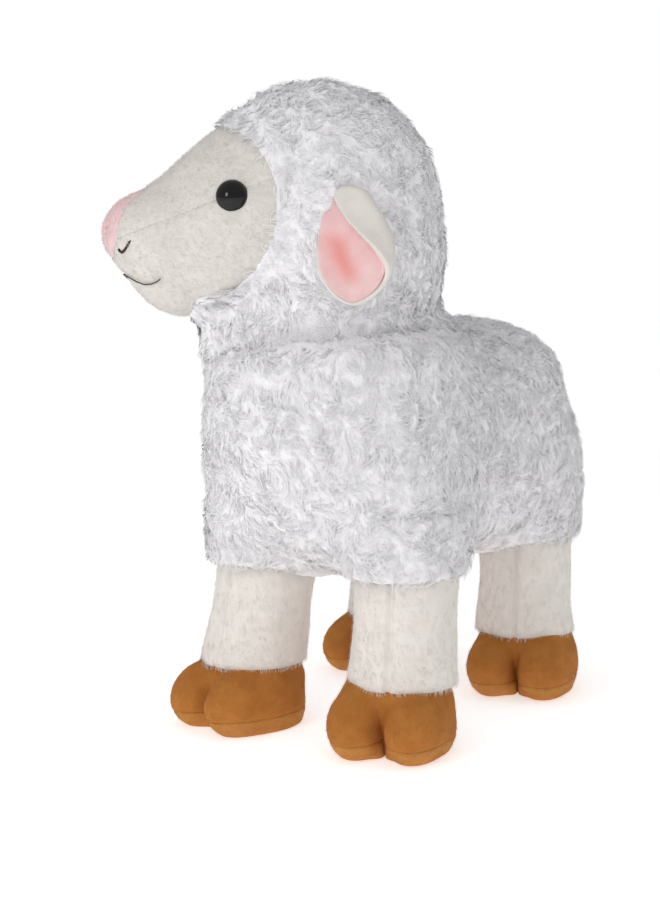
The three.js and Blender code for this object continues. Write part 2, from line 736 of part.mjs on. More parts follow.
function buildTail(group, torso) {
  const aim = at(0, torsoLength / 2, torsoMidHeight + tailRise).sub(torso.middle);
  const root = surfacePoint(torso, aim);
  const out = outwardAt(torso, root);
  const thick = tailThickness / 2;
  const place = root.addScaledVector(out, thick * tailMassShares[0][4] - tailPress);
  const joint = jointGroup(group, "tail_joint", place);
  joint.rotation.x = radians(tailSplay);
  const half = at(tailWidth / 2, thick, tailLength / 2);
  const masses = tailMassShares.map(([x, y, z, halfX, halfY, halfZ]) => ({
    centre: at(x, y, z).multiply(half),
    half: at(halfX, halfY, halfZ).multiply(half),
  }));
  const stretch = at(tailWidth / tailLength, tailThickness / tailLength, 1);
  const form = stuffedForm(masses, thick, at(0, 0, -tailLength / 2), stretch, tailSplitCount);
  addPiece(joint, "tail", skin(form), curlyFur);
}

function hoofSolid(depth) {
  const size = at(hoofWidth / 2, hoofLength / 2, hoofHeight);
  const [x, y, z, halfX, halfY, halfZ] = toeShares;
  const half = at(halfX, halfY, halfZ).multiply(size);
  const toe = (side) => pillow({ centre: at(side * x, y, z).multiply(size), half }, depth);
  const rings = heelShares.map(([height, width]) => [
    height * hoofHeight,
    width * size.x - depth,
    (width * size.x - depth) * heelLengthShare,
  ]);
  rings[0][0] -= depth;
  const heel = ringStack(rings).translate([0, hoofForward, 0]);
  return toe(1).add(toe(-1)).add(heel);
}

// A slab from one height to another, wide enough to cut a hoof
function levelSlab(bottom, top) {
  const wide = hoofLength + cutOverrun;
  return solidOf(new THREE.BoxGeometry(wide, wide, top - bottom).translate(0, 0, (top + bottom) / 2));
}

// Rings of a leg about its hip, a given depth below its cloth, down to its hem and further if asked
function legRings(depth, overrun = 0) {
  const radius = legDiameter / 2 - depth;
  const waist = legWaistDiameter / 2 - depth;
  const rings = [
    ...domeRings(radius, radius, radius),
    [0, radius, radius],
    [legWaistHeight - hipHeight, waist, waist],
    [sleeveHem - hipHeight, radius, radius],
  ];
  return overrun > 0 ? [...rings, [sleeveHem - hipHeight - overrun, radius, radius]] : rings;
}

function buildLeg(group, leg) {
  const joint = jointGroup(group, `leg_${leg.name}_joint`, hipOf(leg));
  const toHoof = (solid) => solid.rotate([0, 0, leg.side * toeOut]).translate([0, 0, -hipHeight]);
  const forward = (solid) => toHoof(solid.translate([0, -hoofForward, 0]));
  const floor = (depth) => levelSlab(soleFlat + depth, hoofHeight + cutOverrun);
  const hollow = hoofSolid(hoofCloth).intersect(floor(hoofCloth));
  const core = hoofSolid(hoofCloth + seamGap).intersect(floor(hoofCloth + seamGap));
  const shell = hoofSolid(0).subtract(hollow);
  const ankleRadius = legDiameter / 2 + seamGap;
  const ankle = ringStack([
    [sleeveHem + cutOverrun - hipHeight, ankleRadius, ankleRadius],
    [sleeveHem - seamGap - hipHeight, ankleRadius, ankleRadius],
  ]);
  const ankleSlab = toHoof(levelSlab(hoofHeight * ankleShare, sleeveHem + cutOverrun));
  const ankleHole = ringStack(legRings(legCloth, hoofHeight)).intersect(ankleSlab);

  const upper = forward(shell.intersect(levelSlab(soleSeamHeight + seamGap, hoofHeight + cutOverrun)));
  addPiece(joint, `hoof_upper_${leg.name}`, upper.subtract(ankle).subtract(ankleHole), hoofSuede);
  const sole = forward(shell.intersect(levelSlab(soleFlat, soleSeamHeight)));
  addPiece(joint, `hoof_sole_${leg.name}`, sole, hoofSuede);

  const sleeve = ringStack(legRings(0)).subtract(ringStack(legRings(legCloth, seamGap)));
  addPiece(joint, `leg_sleeve_${leg.name}`, sleeve, shortPlush);
  const legCore = ringStack(legRings(legCloth + seamGap, sleeveHem - hoofHeight * ankleShare));
  const hoofCore = forward(core.intersect(levelSlab(0, sleeveHem - seamGap)));
  addPiece(joint, `leg_filling_${leg.name}`, legCore.add(hoofCore), polyesterFibre);
}

const sheep = new THREE.Group();
sheep.name = "sheep";
const torso = buildTorso(sheep);
buildTail(sheep, torso);
for (const leg of legs) buildLeg(sheep, leg);
const neck = jointGroup(sheep, "neck_joint", at(0, -neckForward, neckPivotHeight), headTurn);
buildNeck(neck);
const head = buildHead(neck);
for (const { name, side } of sides) buildEar(neck, head, name, side);

// The origin is the middle of the foot of the whole toy's box.
const box = new THREE.Box3().setFromObject(sheep, true);
sheep.position.set(-(box.min.x + box.max.x) / 2, -(box.min.y + box.max.y) / 2, -box.min.z);

export default sheep;
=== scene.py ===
"""Plush sheep: curly long pile fur over a stuffed body, a short plush face, cupped ears, stuffed legs
and cloven cloth hooves. Sizes in the names below are millimetres, and Blender's own data is in metres."""

import json
import math

import bmesh
import bpy
import numpy as np
import openvdb
from mathutils import Matrix, Vector, noise


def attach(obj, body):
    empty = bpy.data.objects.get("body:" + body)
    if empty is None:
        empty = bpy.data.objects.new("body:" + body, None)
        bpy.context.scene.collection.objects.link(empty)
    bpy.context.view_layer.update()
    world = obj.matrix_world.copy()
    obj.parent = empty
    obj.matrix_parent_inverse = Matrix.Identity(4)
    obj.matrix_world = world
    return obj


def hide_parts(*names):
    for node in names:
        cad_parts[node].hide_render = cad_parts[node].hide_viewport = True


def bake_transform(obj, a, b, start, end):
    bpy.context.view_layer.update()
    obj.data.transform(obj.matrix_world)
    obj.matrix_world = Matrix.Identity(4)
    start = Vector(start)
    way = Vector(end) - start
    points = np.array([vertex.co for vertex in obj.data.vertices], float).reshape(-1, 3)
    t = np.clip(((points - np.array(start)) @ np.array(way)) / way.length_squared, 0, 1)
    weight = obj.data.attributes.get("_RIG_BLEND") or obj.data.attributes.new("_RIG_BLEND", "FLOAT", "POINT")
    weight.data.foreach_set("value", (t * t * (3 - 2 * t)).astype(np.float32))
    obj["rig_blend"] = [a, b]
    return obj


MM = 0.001
SIDES = {"left": 1, "right": -1}
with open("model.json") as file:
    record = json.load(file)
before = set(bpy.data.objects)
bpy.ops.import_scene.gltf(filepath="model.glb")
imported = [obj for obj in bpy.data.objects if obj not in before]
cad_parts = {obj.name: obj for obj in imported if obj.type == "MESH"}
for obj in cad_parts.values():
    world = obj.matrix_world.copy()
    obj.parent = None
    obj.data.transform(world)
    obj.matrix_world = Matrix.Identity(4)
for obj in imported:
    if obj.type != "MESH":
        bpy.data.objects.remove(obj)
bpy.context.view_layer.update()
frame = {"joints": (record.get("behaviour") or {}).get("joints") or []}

# Torso, as the outside of the curly fur
TORSO_HALF = (70, 104, 59)
TORSO_RISE = 40  # of its middle above the hips
TORSO_BLEND = 22
# Where the fur is fuller than the torso's masses: by how much, and the heights and stretches it comes in over
BACK_FULLNESS = 5
BACK_HEIGHTS = (45, 85)
BACK_STRETCH = (-10, 40)
RUMP_FULLNESS = 3.6
RUMP_STRETCH = (50, 90)
CHEST_FULLNESS = 1.6
CHEST_HEIGHTS = (15, 45)
CHEST_STRETCH = (-70, -100)
BELLY_STRETCH = 0.8
TORSO_POWER = 2.6
# Torso masses: middle (side, back, up), then half sizes, as shares of the torso's half sizes
TORSO_SHARES = [(0, -0.4, 0, 0.97, 0.56, 0.94), (0, 0.05, 0, 1, 0.75, 1), (0, 0.46, 0.06, 0.96, 0.54, 0.95)]

# Legs, and the fur round their tops
LEG_RADIUS = 25.5
LEG_WAIST_RADIUS = 24.5
LEG_WAIST_DROP = 40  # below the hip
HEM_DROP = 18
HEM_WIDTH = 4
HEM_LENGTH = 8.5
HEM_ROUND = 3
THIGH_RISE = 14
THIGH_HALF_DEPTH = 36
LEG_SWING = math.radians(12)
SEAT_GAP = 0.5

# How far a leg's top leans to the sheep's left and back, and the share of it that is left at the foot
LEG_LEANS = {
    "front_left": (3.4, 2.1, 0.5),
    "front_right": (6.2, 3.8, 0),
    "hind_left": (-1.5, 0, 1),
    "hind_right": (0, 0, 0),
}

# Neck
NECK_HALF_WIDTH = 64.5
NECK_POWER = 3
NECK_BALL_RADIUS = 57
NECK_RIM_DROP = 35
NECK_RIM_SLOPE = math.radians(5)
NECK_WAD_RADIUS = 30
NECK_WAD_DEPTH = 24
NECK_SEAM_DROP = 30
RIM_ROUND = 16

# Head masses about the neck pivot: half width, half length, half height, forward, rise
CRANIUM = (54, 57, 55, 9, 29)
FACE = (41, 38, 39.8, 52, 14)
MUZZLE = (24, 25.5, 21, 87.5, 9)
JAW = (25, 29, 22.5, 70, -8)
HEAD_BLEND = 14
CROWN_FULLNESS = 1.2  # of the fur at the back of the crown
NAPE_FLATNESS = 2.6

# Seams of the face
FACE_SEAM_RADIUS = 51
FACE_SEAM_FORWARD = 89
FACE_SEAM_RISE = 21
CHIN_SEAM_FORWARD = 73
BRIDGE_SLOPE = math.radians(22)
EYE_FORWARD = 59.4
EYE_RISE = 25.6
FACE_HALF_WIDTH = 41
NOSE_HEIGHT = 33
NOSE_WIDTH = 34
NOSE_RISE = -3
NOSE_FORWARD = 87
# Outline of the nose patch as shares of its width and height, from its lower tip
NOSE_SHARES = [(0.1, 0), (0.385, 0.215), (0.435, 0.42), (0.43, 0.63), (0.27, 0.91), (0.18, 1)]
FACE_CLOTH = 3
SEAM_DEPTH = 0.6
SEAM_WIDTH = 1.7
# The stitches: how far aside and how high
MOUTH_PLACES = [(0.6, -9.8), (2.4, -10), (5, -11.2), (8.6, -13.3), (12.4, -14.8), (15.9, -14.6)]
MOUTH_PLACES += [(18.5, -13.6), (20.4, -12.2)]
NOSTRIL_PLACES = [(12.9, 1.8), (12.8, 0.7), (13.4, 0), (14.7, 0.6), (16.2, 1.9), (17.8, 3.7), (18.9, 5.4)]
# Below the cheeks the fur comes further forward: its edge there, and how it drops towards the chin
CHEEK_SEAM_DROP = 20.5
CHEEK_SEAM_WIDTH = 24
CHEEK_SEAM_SLOPE = 0.6

# Eyes
EYE_RADIUS = 7.5
EYE_DOME = 5.5
EYE_SEAT = 1.2
EYE_SHANK_RADIUS = 2
EYE_SHANK_LENGTH = 14

# Ears
EAR_LENGTH = 52
EAR_CLOTH = 2.6
EAR_SHIFT = 9.5  # forward of the joint
EAR_ROOT_MIDDLE = (0, -EAR_SHIFT, -5)
EAR_ROOT_HALF = (12, 14, 10)
EAR_SPLAY = math.radians(16)
EAR_FACING = math.radians(45)
EAR_CUP = math.radians(35)  # at its front edge
# At even steps from root to tip: how far the ear's front edge and its fold lie from the middle of its root,
# how wide the flap is that folds over, and the angle of the fold in degrees
EAR_FRONTS = [10.5, 14, 16.5, 17.8, 18, 18, 18]
EAR_REARS = [10, 14.5, 19, 22, 22, 22, 22]
EAR_FLAPS = [19, 20, 19.5, 17, 12, 6, 3]
EAR_FOLDS = [180, 172, 160, 142, 115, 80, 40]

# Hooves, about the leg's axis on the ground
HOOF_FORWARD = 6
TOE_OUT = math.radians(14)
TOE_MIDDLE = (13.6, -6.6, 14.7)
TOE_HALF = (15.6, 27.2, 18.4)
HEEL_HEIGHTS = [0, 7.7, 23.8, 34, 37.1]
HEEL_HALF_WIDTHS = [24.9, 26.9, 26.8, 23.9, 22]
HEEL_LENGTH_SHARE = 0.95
SOLE_SEAM_HEIGHT = 9
CLEFT_END = 15  # of the cleft, in front of the hoof's middle
PUCKERS = 34  # drawn in by the sole's stitches, all round
SOLE_FLAT = 0.5
SLEEVE_HEM = 34
SLEEVE_LOW = 31.6  # of the plush, that laps over the hoof
HIP_HEIGHT = 100

# Tail
TAIL_HALF = (13, 8.5, 22)
TAIL_SPLAY = math.radians(20)
TAIL_FUR_DEPTH = 3
TAIL_SHARES = [(0, 0, 0, 0.62, 0.8, 0.3), (0, 0, -0.8, 1, 1, 0.7), (0, 0, -1.4, 0.82, 0.86, 0.56)]

# Pile
FUR_DEPTH = 2.4  # of the backing cloth below the outside of the curls
HEM_DEPTH = 1.8  # of the backing inside the hem
CALM = 0.75  # share of the form's own way out, without its curls, in the light on a curly cloth
# How deep the backing lies at these distances from the edge of the face
EDGE_DISTANCES = [-3, 0, 12]
EDGE_DEPTHS = [4.5, 0.4, FUR_DEPTH]
RUFF_EDGE_DEPTHS = [5, 0.5, FUR_DEPTH]

# Where the pieces are
JOINTS = {joint["name"]: joint for joint in frame["joints"]}
LEGS = ("front_left", "front_right", "hind_left", "hind_right")


def joint_place(name):
    return np.array(JOINTS[name]["pos_m"]) / MM


HIPS = {leg: joint_place(f"leg_{leg}_swing") for leg in LEGS}
HIP_MIDDLE = np.mean([HIPS[leg] for leg in LEGS], axis=0)
PIVOT = joint_place("head_turn") - HIP_MIDDLE
NOD_AXIS = JOINTS["head_nod"]["axis"]
HEAD_TURN = math.atan2(NOD_AXIS[1], NOD_AXIS[0])


def leg_top(name):
    """The middle of a leg's top from the middle of the hips, with its lean."""
    return HIPS[name] - HIP_MIDDLE + (*LEG_LEANS[name][:2], 0)


def place_at(point, *turns):
    """The matrix from a piece's own millimetres to the frame's metres."""
    matrix = Matrix.Translation(Vector(point) * MM)
    for turn in turns:
        matrix = matrix @ turn
    return matrix @ Matrix.Scale(MM, 4)


HEAD_SPIN = Matrix.Rotation(HEAD_TURN, 4, "Z")
TORSO_PLACE = place_at(HIP_MIDDLE)
HEAD_PLACE = place_at(joint_place("head_turn"), HEAD_SPIN)


# Shapes as distances: negative inside a form, in millimetres
def ramp(values, start, end):
    """From 0 at the start to 1 at the end, and level beyond both."""
    return np.clip((values - start) / (end - start), 0, 1)


def bell(values, width):
    """1 at zero, and next to nothing at twice the width."""
    return np.exp(-((values / width) ** 2))


def eased(share):
    return share * share * (3 - 2 * share)


def mass_distance(p, centre, half, power=2):
    q = p - np.array(centre) + 1e-6
    level = np.hypot(q[..., 0] / half[0], q[..., 1] / half[1])
    near = (level**power + np.abs(q[..., 2] / half[2]) ** power) ** (1 / power)
    return np.linalg.norm(q, axis=-1) * (1 - 1 / near)


def soft_lesser(a, b, blend):
    share = np.maximum(blend - np.abs(a - b), 0) / blend
    return np.minimum(a, b) - share * share * blend / 4


def torso_distance(given):
    p = given * np.where(given[..., 2:] < 0, (1, 1, BELLY_STRETCH), 1)
    middle = np.array((0, 0, TORSO_RISE))
    found = None
    for x, y, z, half_x, half_y, half_z in TORSO_SHARES:
        centre = np.array((x, y, z)) * TORSO_HALF + middle
        mass = mass_distance(p, centre, np.array((half_x, half_y, half_z)) * TORSO_HALF, TORSO_POWER)
        found = mass if found is None else soft_lesser(found, mass, TORSO_BLEND)
    thigh = LEG_RADIUS + HEM_WIDTH
    for leg in LEGS:
        hip = leg_top(leg)
        inward = np.array((-np.sign(hip[0]), -np.sign(hip[1]), 0)) * HEM_WIDTH / 2
        centre = hip + inward + (0, 0, THIGH_RISE)
        mass = mass_distance(p, centre, (thigh, thigh + HEM_WIDTH, THIGH_HALF_DEPTH), NECK_POWER)
        found = soft_lesser(found, mass, TORSO_BLEND)
    column_half = (PIVOT[2] - TORSO_RISE) / 2 + NECK_HALF_WIDTH
    centre = (PIVOT[0], PIVOT[1], PIVOT[2] - NECK_HALF_WIDTH / 2)
    column = mass_distance(p, centre, (NECK_HALF_WIDTH, NECK_HALF_WIDTH, column_half), NECK_POWER)
    high = ramp(given[..., 2], *BACK_HEIGHTS) * ramp(given[..., 1], *BACK_STRETCH)
    rear = ramp(given[..., 1], *RUMP_STRETCH)
    chest = ramp(given[..., 1], *CHEST_STRETCH) * ramp(given[..., 2], *CHEST_HEIGHTS)
    fuller = BACK_FULLNESS * high + RUMP_FULLNESS * rear + CHEST_FULLNESS * chest
    return soft_lesser(found, column, TORSO_BLEND) - fuller


def hem_distance(p, hip, depth):
    q = p - hip
    width = LEG_RADIUS + HEM_WIDTH - depth - HEM_ROUND
    length = LEG_RADIUS + HEM_LENGTH - depth - HEM_ROUND
    aside = (np.hypot(q[..., 0] / width, q[..., 1] / length) - 1) * width
    below = depth - HEM_DROP + HEM_ROUND - q[..., 2]
    above = q[..., 2] - THIGH_RISE
    outside = np.hypot(np.maximum(aside, 0), np.maximum(below, 0))
    return np.maximum(outside + np.minimum(np.maximum(aside, below), 0) - HEM_ROUND, above)


def hip_seat_distance(p, hip):
    q = p - hip
    width = LEG_RADIUS + SEAT_GAP
    length = width / math.cos(LEG_SWING) + np.maximum(-q[..., 2], 0) * math.tan(LEG_SWING)
    up = np.maximum(q[..., 2], 0) / (width * 1.03)
    return (np.sqrt((q[..., 0] / width) ** 2 + (q[..., 1] / length) ** 2 + up**2) - 1) * width


def rim_distance(p):
    q = p - (PIVOT - (0, 0, NECK_RIM_DROP))
    return q[..., 2] * math.cos(NECK_RIM_SLOPE) - q[..., 1] * math.sin(NECK_RIM_SLOPE)


def bowl_distance(p):
    q = p - PIVOT
    bowl = np.linalg.norm(q, axis=-1) - NECK_BALL_RADIUS - SEAT_GAP
    floor = -NECK_BALL_RADIUS - NECK_WAD_DEPTH - SEAT_GAP - q[..., 2]
    pocket = np.hypot(q[..., 0], q[..., 1]) - NECK_WAD_RADIUS - SEAT_GAP
    pocket = np.maximum(np.maximum(pocket, floor), q[..., 2] + NECK_BALL_RADIUS / 2)
    return np.minimum(bowl, pocket)


def torso_below_rim(p):
    """The torso, rounded over at the rim of the neck's opening."""
    return -soft_lesser(-torso_distance(p), -rim_distance(p), RIM_ROUND)


def body_outside(p):
    hems = np.min([hem_distance(p, leg_top(leg), HEM_DEPTH) for leg in LEGS], axis=0)
    return soft_lesser(torso_below_rim(p) + FUR_DEPTH, hems, HEM_WIDTH)


def body_distance(p):
    found = np.maximum(body_outside(p), rim_distance(p))
    for leg in LEGS:
        found = np.maximum(found, -hip_seat_distance(p, leg_top(leg)))
    return np.maximum(found, -bowl_distance(p))


def head_form(p):
    found = np.linalg.norm(p, axis=-1) - NECK_BALL_RADIUS
    for half_x, half_y, half_z, forward, rise in (CRANIUM, FACE, MUZZLE, JAW):
        mass = mass_distance(p, (0, -forward, rise), (half_x, half_y, half_z))
        found = soft_lesser(found, mass, HEAD_BLEND)
    return found


def head_outside(p):
    """The outside of the head's fur: a little fuller at the crown's back, and flatter at the nape."""
    crown = CROWN_FULLNESS * ramp(p[..., 1], 0, 20) * ramp(p[..., 2], 38, 53)
    nape = NAPE_FLATNESS * ramp(p[..., 1], 15, 35) * ramp(p[..., 2], 34, 14)
    return head_form(p) - crown + nape


def head_core_distance(p):
    ball = np.linalg.norm(p, axis=-1) - NECK_BALL_RADIUS
    below = p[..., 2] + NECK_SEAM_DROP
    depth = np.interp(face_seam(p), EDGE_DISTANCES, EDGE_DEPTHS)
    upper = np.maximum(head_outside(p) + depth, -below)
    return np.minimum(upper, np.maximum(ball, below))


def face_seam(p):
    drum = np.hypot(p[..., 1] + FACE_SEAM_FORWARD, p[..., 2] - FACE_SEAM_RISE) - FACE_SEAM_RADIUS
    low = CHEEK_SEAM_SLOPE * np.minimum(np.abs(p[..., 0]) - CHEEK_SEAM_WIDTH, 0) - p[..., 2] - CHEEK_SEAM_DROP
    return np.minimum(np.maximum(drum, low), p[..., 1] + CHIN_SEAM_FORWARD)


def bridge_seam(p):
    rise = (p[..., 2] - EYE_RISE) * math.cos(BRIDGE_SLOPE)
    return -(rise - (p[..., 1] + EYE_FORWARD) * math.sin(BRIDGE_SLOPE))


def nose_seam(p):
    shares = np.array(NOSE_SHARES)
    heights = NOSE_RISE + shares[:, 1] * NOSE_HEIGHT
    width = np.interp(p[..., 2], heights, shares[:, 0] * NOSE_WIDTH)
    beyond = np.maximum(heights[0] - p[..., 2], p[..., 2] - heights[-1])
    across = np.maximum(np.abs(p[..., 0]) - width, beyond)
    return np.maximum(across, p[..., 1] + NOSE_FORWARD)


def tail_distance(p):
    found = None
    for x, y, z, half_x, half_y, half_z in TAIL_SHARES:
        half = np.array((half_x, half_y, half_z)) * TAIL_HALF
        mass = mass_distance(p, np.array((x, y, z)) * TAIL_HALF, half)
        found = mass if found is None else soft_lesser(found, mass, TAIL_HALF[1])
    return found


def tail_backing_distance(p):
    return tail_distance(p) + TAIL_FUR_DEPTH


# Making meshes
def polygonise(distance, low, high, voxel):
    """The surface where a distance is zero, as points and quads, in the same millimetres."""
    axes = [np.arange(a, b + voxel, voxel) for a, b in zip(low, high)]
    values = distance(np.stack(np.meshgrid(*axes, indexing="ij"), -1)).astype(np.float32)
    volume = openvdb.FloatGrid(float(values.max()))
    volume.copyFromArray(np.ascontiguousarray(values))
    points, quads = volume.convertToQuads(0.0)
    return points * voxel + np.array(low), quads


def mesh_piece(name, points, faces, place, material=None, smooth=True):
    mesh = bpy.data.meshes.new(name)
    mesh.from_pydata(np.asarray(points).tolist(), [], [tuple(map(int, face)) for face in faces])
    mesh.transform(place)
    mesh.polygons.foreach_set("use_smooth", [smooth] * len(mesh.polygons))
    made = bpy.data.objects.new(name, mesh)
    bpy.context.scene.collection.objects.link(made)
    if material:
        mesh.materials.append(material)
    return made


def point_values(made, name, values):
    made.data.attributes.new(name, "FLOAT", "POINT").data.foreach_set("value", np.asarray(values, np.float32))


def ready_for_pile(made, grow, length, comb, turn=None, rise=1, calm=None):
    """Stores where pile grows on a cloth, its share of the full length and height, its comb, and the form's
    way out without its curls, which calms the light on the pile."""
    count = len(made.data.vertices)
    own = np.empty(count * 3, np.float32)
    made.data.vertices.foreach_get("normal", own)
    plain = own.reshape(-1, 3)
    ways = np.broadcast_to(np.asarray(comb, float), (count, 3))
    turned_by = np.eye(3) if turn is None else np.array(turn.to_3x3())
    if calm is not None:
        plain = calm @ turned_by.T
        lit = plain * CALM + own.reshape(-1, 3) * (1 - CALM)
        lit /= np.linalg.norm(lit, axis=1)[:, None]
        made.data.normals_split_custom_set_from_vertices(lit.tolist())
    for name, values in {"calm": plain, "comb": ways @ turned_by.T}.items():
        flat = np.ascontiguousarray(values, np.float32).ravel()
        made.data.attributes.new(name, "FLOAT_VECTOR", "POINT").data.foreach_set("vector", flat)
    for name, values in {"grow": grow, "length": length, "rise": rise}.items():
        point_values(made, name, np.broadcast_to(np.asarray(values, float), count))


# Materials
def linear(code):
    """An sRGB hex colour as linear red, green, blue and alpha."""
    parts = [int(code[i : i + 2], 16) / 255 for i in (1, 3, 5)]
    return tuple(c / 12.92 if c <= 0.04045 else ((c + 0.055) / 1.055) ** 2.4 for c in parts) + (1,)


def add(tree, kind, feeds=None, **settings):
    """Adds a node with its settings, and feeds its inputs with values or with other nodes' outputs."""
    node = tree.nodes.new(kind)
    for name, value in settings.items():
        setattr(node, name, value)
    for key, value in (feeds or {}).items():
        if isinstance(value, bpy.types.NodeSocket):
            tree.links.new(value, node.inputs[key])
        else:
            node.inputs[key].default_value = value
    return node


def new_material(name, **shader_values):
    material = bpy.data.materials.new(name)
    material.use_nodes = True
    tree = material.node_tree
    tree.nodes.clear()
    shader = add(tree, "ShaderNodeBsdfPrincipled", {k.replace("_", " "): v for k, v in shader_values.items()})
    add(tree, "ShaderNodeOutputMaterial", {"Surface": shader.outputs[0]})
    return material, tree, shader


def pile_cloth(name, shade, light, blotch, nap, lift, **shader_values):
    """A napped cloth between two colours, with the sizes of its blotches and its nap, and the nap's lift."""
    material, tree, shader = new_material(name, **shader_values)
    spot = add(tree, "ShaderNodeTexCoord").outputs["Object"]
    patch = add(tree, "ShaderNodeTexNoise", {"Vector": spot, "Scale": 1 / (blotch * MM), "Detail": 3.0})
    spread = {"Value": patch.outputs["Fac"], "From Min": 0.3, "From Max": 0.7}
    share = add(tree, "ShaderNodeMapRange", spread)
    tone = {0: share.outputs[0], 6: linear(shade), 7: linear(light)}
    blend = add(tree, "ShaderNodeMix", tone, data_type="RGBA")
    tree.links.new(blend.outputs[2], shader.inputs["Base Color"])
    hairs = add(tree, "ShaderNodeTexNoise", {"Vector": spot, "Scale": 1 / (nap * MM), "Detail": 3.0})
    raised = {"Height": hairs.outputs["Fac"], "Strength": 0.6, "Distance": lift * MM}
    bump = add(tree, "ShaderNodeBump", raised)
    tree.links.new(bump.outputs["Normal"], shader.inputs["Normal"])
    return material, tree, blend


def strand_material(name, root, tip, **shader_values):
    """Fibres: a little deeper at the root than at the tip, along the strand's own map."""
    material, tree, shader = new_material(name, **shader_values)
    along = add(tree, "ShaderNodeUVMap", uv_map="OFBake").outputs["UV"]
    parts = add(tree, "ShaderNodeSeparateXYZ", {"Vector": along})
    tone = {0: parts.outputs["Y"], 6: linear(root), 7: linear(tip)}
    blend = add(tree, "ShaderNodeMix", tone, data_type="RGBA")
    tree.links.new(blend.outputs[2], shader.inputs["Base Color"])
    return material


SOFT = {"Roughness": 0.9, "Specular_IOR_Level": 0.2}
NAP_SHINE = {"Roughness": 0.8, "Specular_IOR_Level": 0.2}
FUR_SHINE = {"Roughness": 0.75, "Specular_IOR_Level": 0.3}
# Acrylic fur, knitted and brushed out: cool white locks with a soft sheen, and hardly deeper at their roots
FUR_STRAND = strand_material("acrylic_fur_strands", "#f3f1f4", "#f9f8fa", **FUR_SHINE)
# The knitted cloth that carries the fur: the same white with a fine nap, so that no gap shows dark
FUR_BACKING = pile_cloth("acrylic_fur_backing", "#f2f0f4", "#faf9fb", 6, 0.9, 0.6, **SOFT)[0]
# Sheared polyester plush: warm cream, dull, with faint blotches where the pile lies different ways
PLUSH = pile_cloth("cream_short_plush", "#d8d2cc", "#e0dbd5", 9, 0.6, 0.3, **SOFT)[0]
PLUSH_NAP = strand_material("cream_plush_nap", "#dad4ce", "#e6e1db", **NAP_SHINE)
# The legs' plush and nap: the same warm cream as the face, painted a little paler to stand in for light the
# legs lack
LEG_PLUSH_PAINTED_LIGHT = pile_cloth("leg_plush_painted_light", "#e6e0d9", "#efe9e3", 9, 0.6, 0.3, **SOFT)[0]
LEG_NAP_PAINTED_LIGHT = strand_material("leg_nap_painted_light", "#e8e2db", "#f2ede7", **NAP_SHINE)
# The nose's plush: a powdery rose, a little smoother than the face
PINK = pile_cloth("pink_short_plush", "#e6c2c3", "#ecd0d1", 8, 0.6, 0.25, **SOFT)[0]
PINK_NAP = strand_material("pink_plush_nap", "#e6c2c3", "#f0d8d8", **NAP_SHINE)
# Brushed microfibre suede: saturated caramel with faint patches, and a shade lighter on the soles
SUEDE = pile_cloth("caramel_brushed_suede", "#ad6c31", "#bb7a3a", 9, 0.5, 0.3, **SOFT)[0]
SOLE_SUEDE = pile_cloth("caramel_sole_suede", "#b67a3e", "#c48847", 9, 0.5, 0.3, **SOFT)[0]
SUEDE_NAP = strand_material("caramel_suede_nap", "#aa6a30", "#c98b4c", **NAP_SHINE)
# Moulded acrylic: near black, and glossy enough to show a window
EYE_GLOSS = {"Roughness": 0.05, "Specular_IOR_Level": 0.4}
EYE = new_material("black_gloss_acrylic", Base_Color=linear("#0a0706"), **EYE_GLOSS)[0]
# Moulded nylon, inside the head: plain off-white with a soft shine
WASHER = new_material("white_nylon", Roughness=0.5, Base_Color=linear("#e6e6e2"))[0]
# Polyester embroidery thread: dark brown, with little shine
THREAD = strand_material("brown_embroidery_thread", "#33241f", "#4a3731", Roughness=0.6)
# Loose polyester fibre: white, uneven and dull
FIBRE = pile_cloth("polyester_fibre_filling", "#eeeeee", "#fafafa", 5, 1, 1, **SOFT)[0]


def ear_lining_cloth():
    """Pink short plush with painted shade: it deepens to coral in the fold, where the light bounces between
    its two sides.
    """
    material, tree, blend = pile_cloth("pink_ear_lining", "#e4b9b9", "#ebc8c8", 8, 0.6, 0.25, **SOFT)
    # The fold's coral is painted shade, read from the lining's fold attribute
    fold = add(tree, "ShaderNodeAttribute", attribute_name="fold").outputs["Fac"]
    deep = add(tree, "ShaderNodeMix", {0: fold, 6: blend.outputs[2], 7: linear("#e58b80")}, data_type="RGBA")
    shader = next(node for node in tree.nodes if node.type == "BSDF_PRINCIPLED")
    tree.links.new(deep.outputs[2], shader.inputs["Base Color"])
    return material


LINING = ear_lining_cloth()


# Pile: a tree of nodes that grows strands on any cloth
PILE_SIZES = {
    "Strands": 200000.0,  # in a square metre
    "Tufts": 20000.0,  # in a square metre
    "Length": 8 * MM,  # along the cloth
    "Height": 5 * MM,
    "Radius": 0.25 * MM,
    "Hook": 2.4,  # radians of the arc that a strand rises and falls in
    "Curl": 6.0,  # radians that a strand may wind round
    "Swirl": 70.0,  # changes of direction in a metre
    "Stir": 4.0,  # share of that against the comb
    "Pull": 0.6,  # of the tips together
    "Flat": 0.85,  # share of a strand's thickness, away from the cloth, that it has lost
    "Softness": 0.75,  # share of the cloth's own normal in the light on a strand
    "Calm": 0.85,  # share of the form's way out, without its curls, in that
}
SHORTEST = 0.75  # shares of the full length that chance gives a strand
LONGEST = 1.1
TIP_SHARE = 0.35  # of a strand's thickness
# What the tree reads from the cloth, and what it keeps on its points on the way
NUMBERS = ("grow", "length", "rise", "chance", "along")
WAYS = ("comb", "calm", "root", "root_way", "tuft_root", "tuft_way", "tuft_comb", "core")
ATTRIBUTES = {**dict.fromkeys(NUMBERS, "FLOAT"), **dict.fromkeys(WAYS, "FLOAT_VECTOR")}


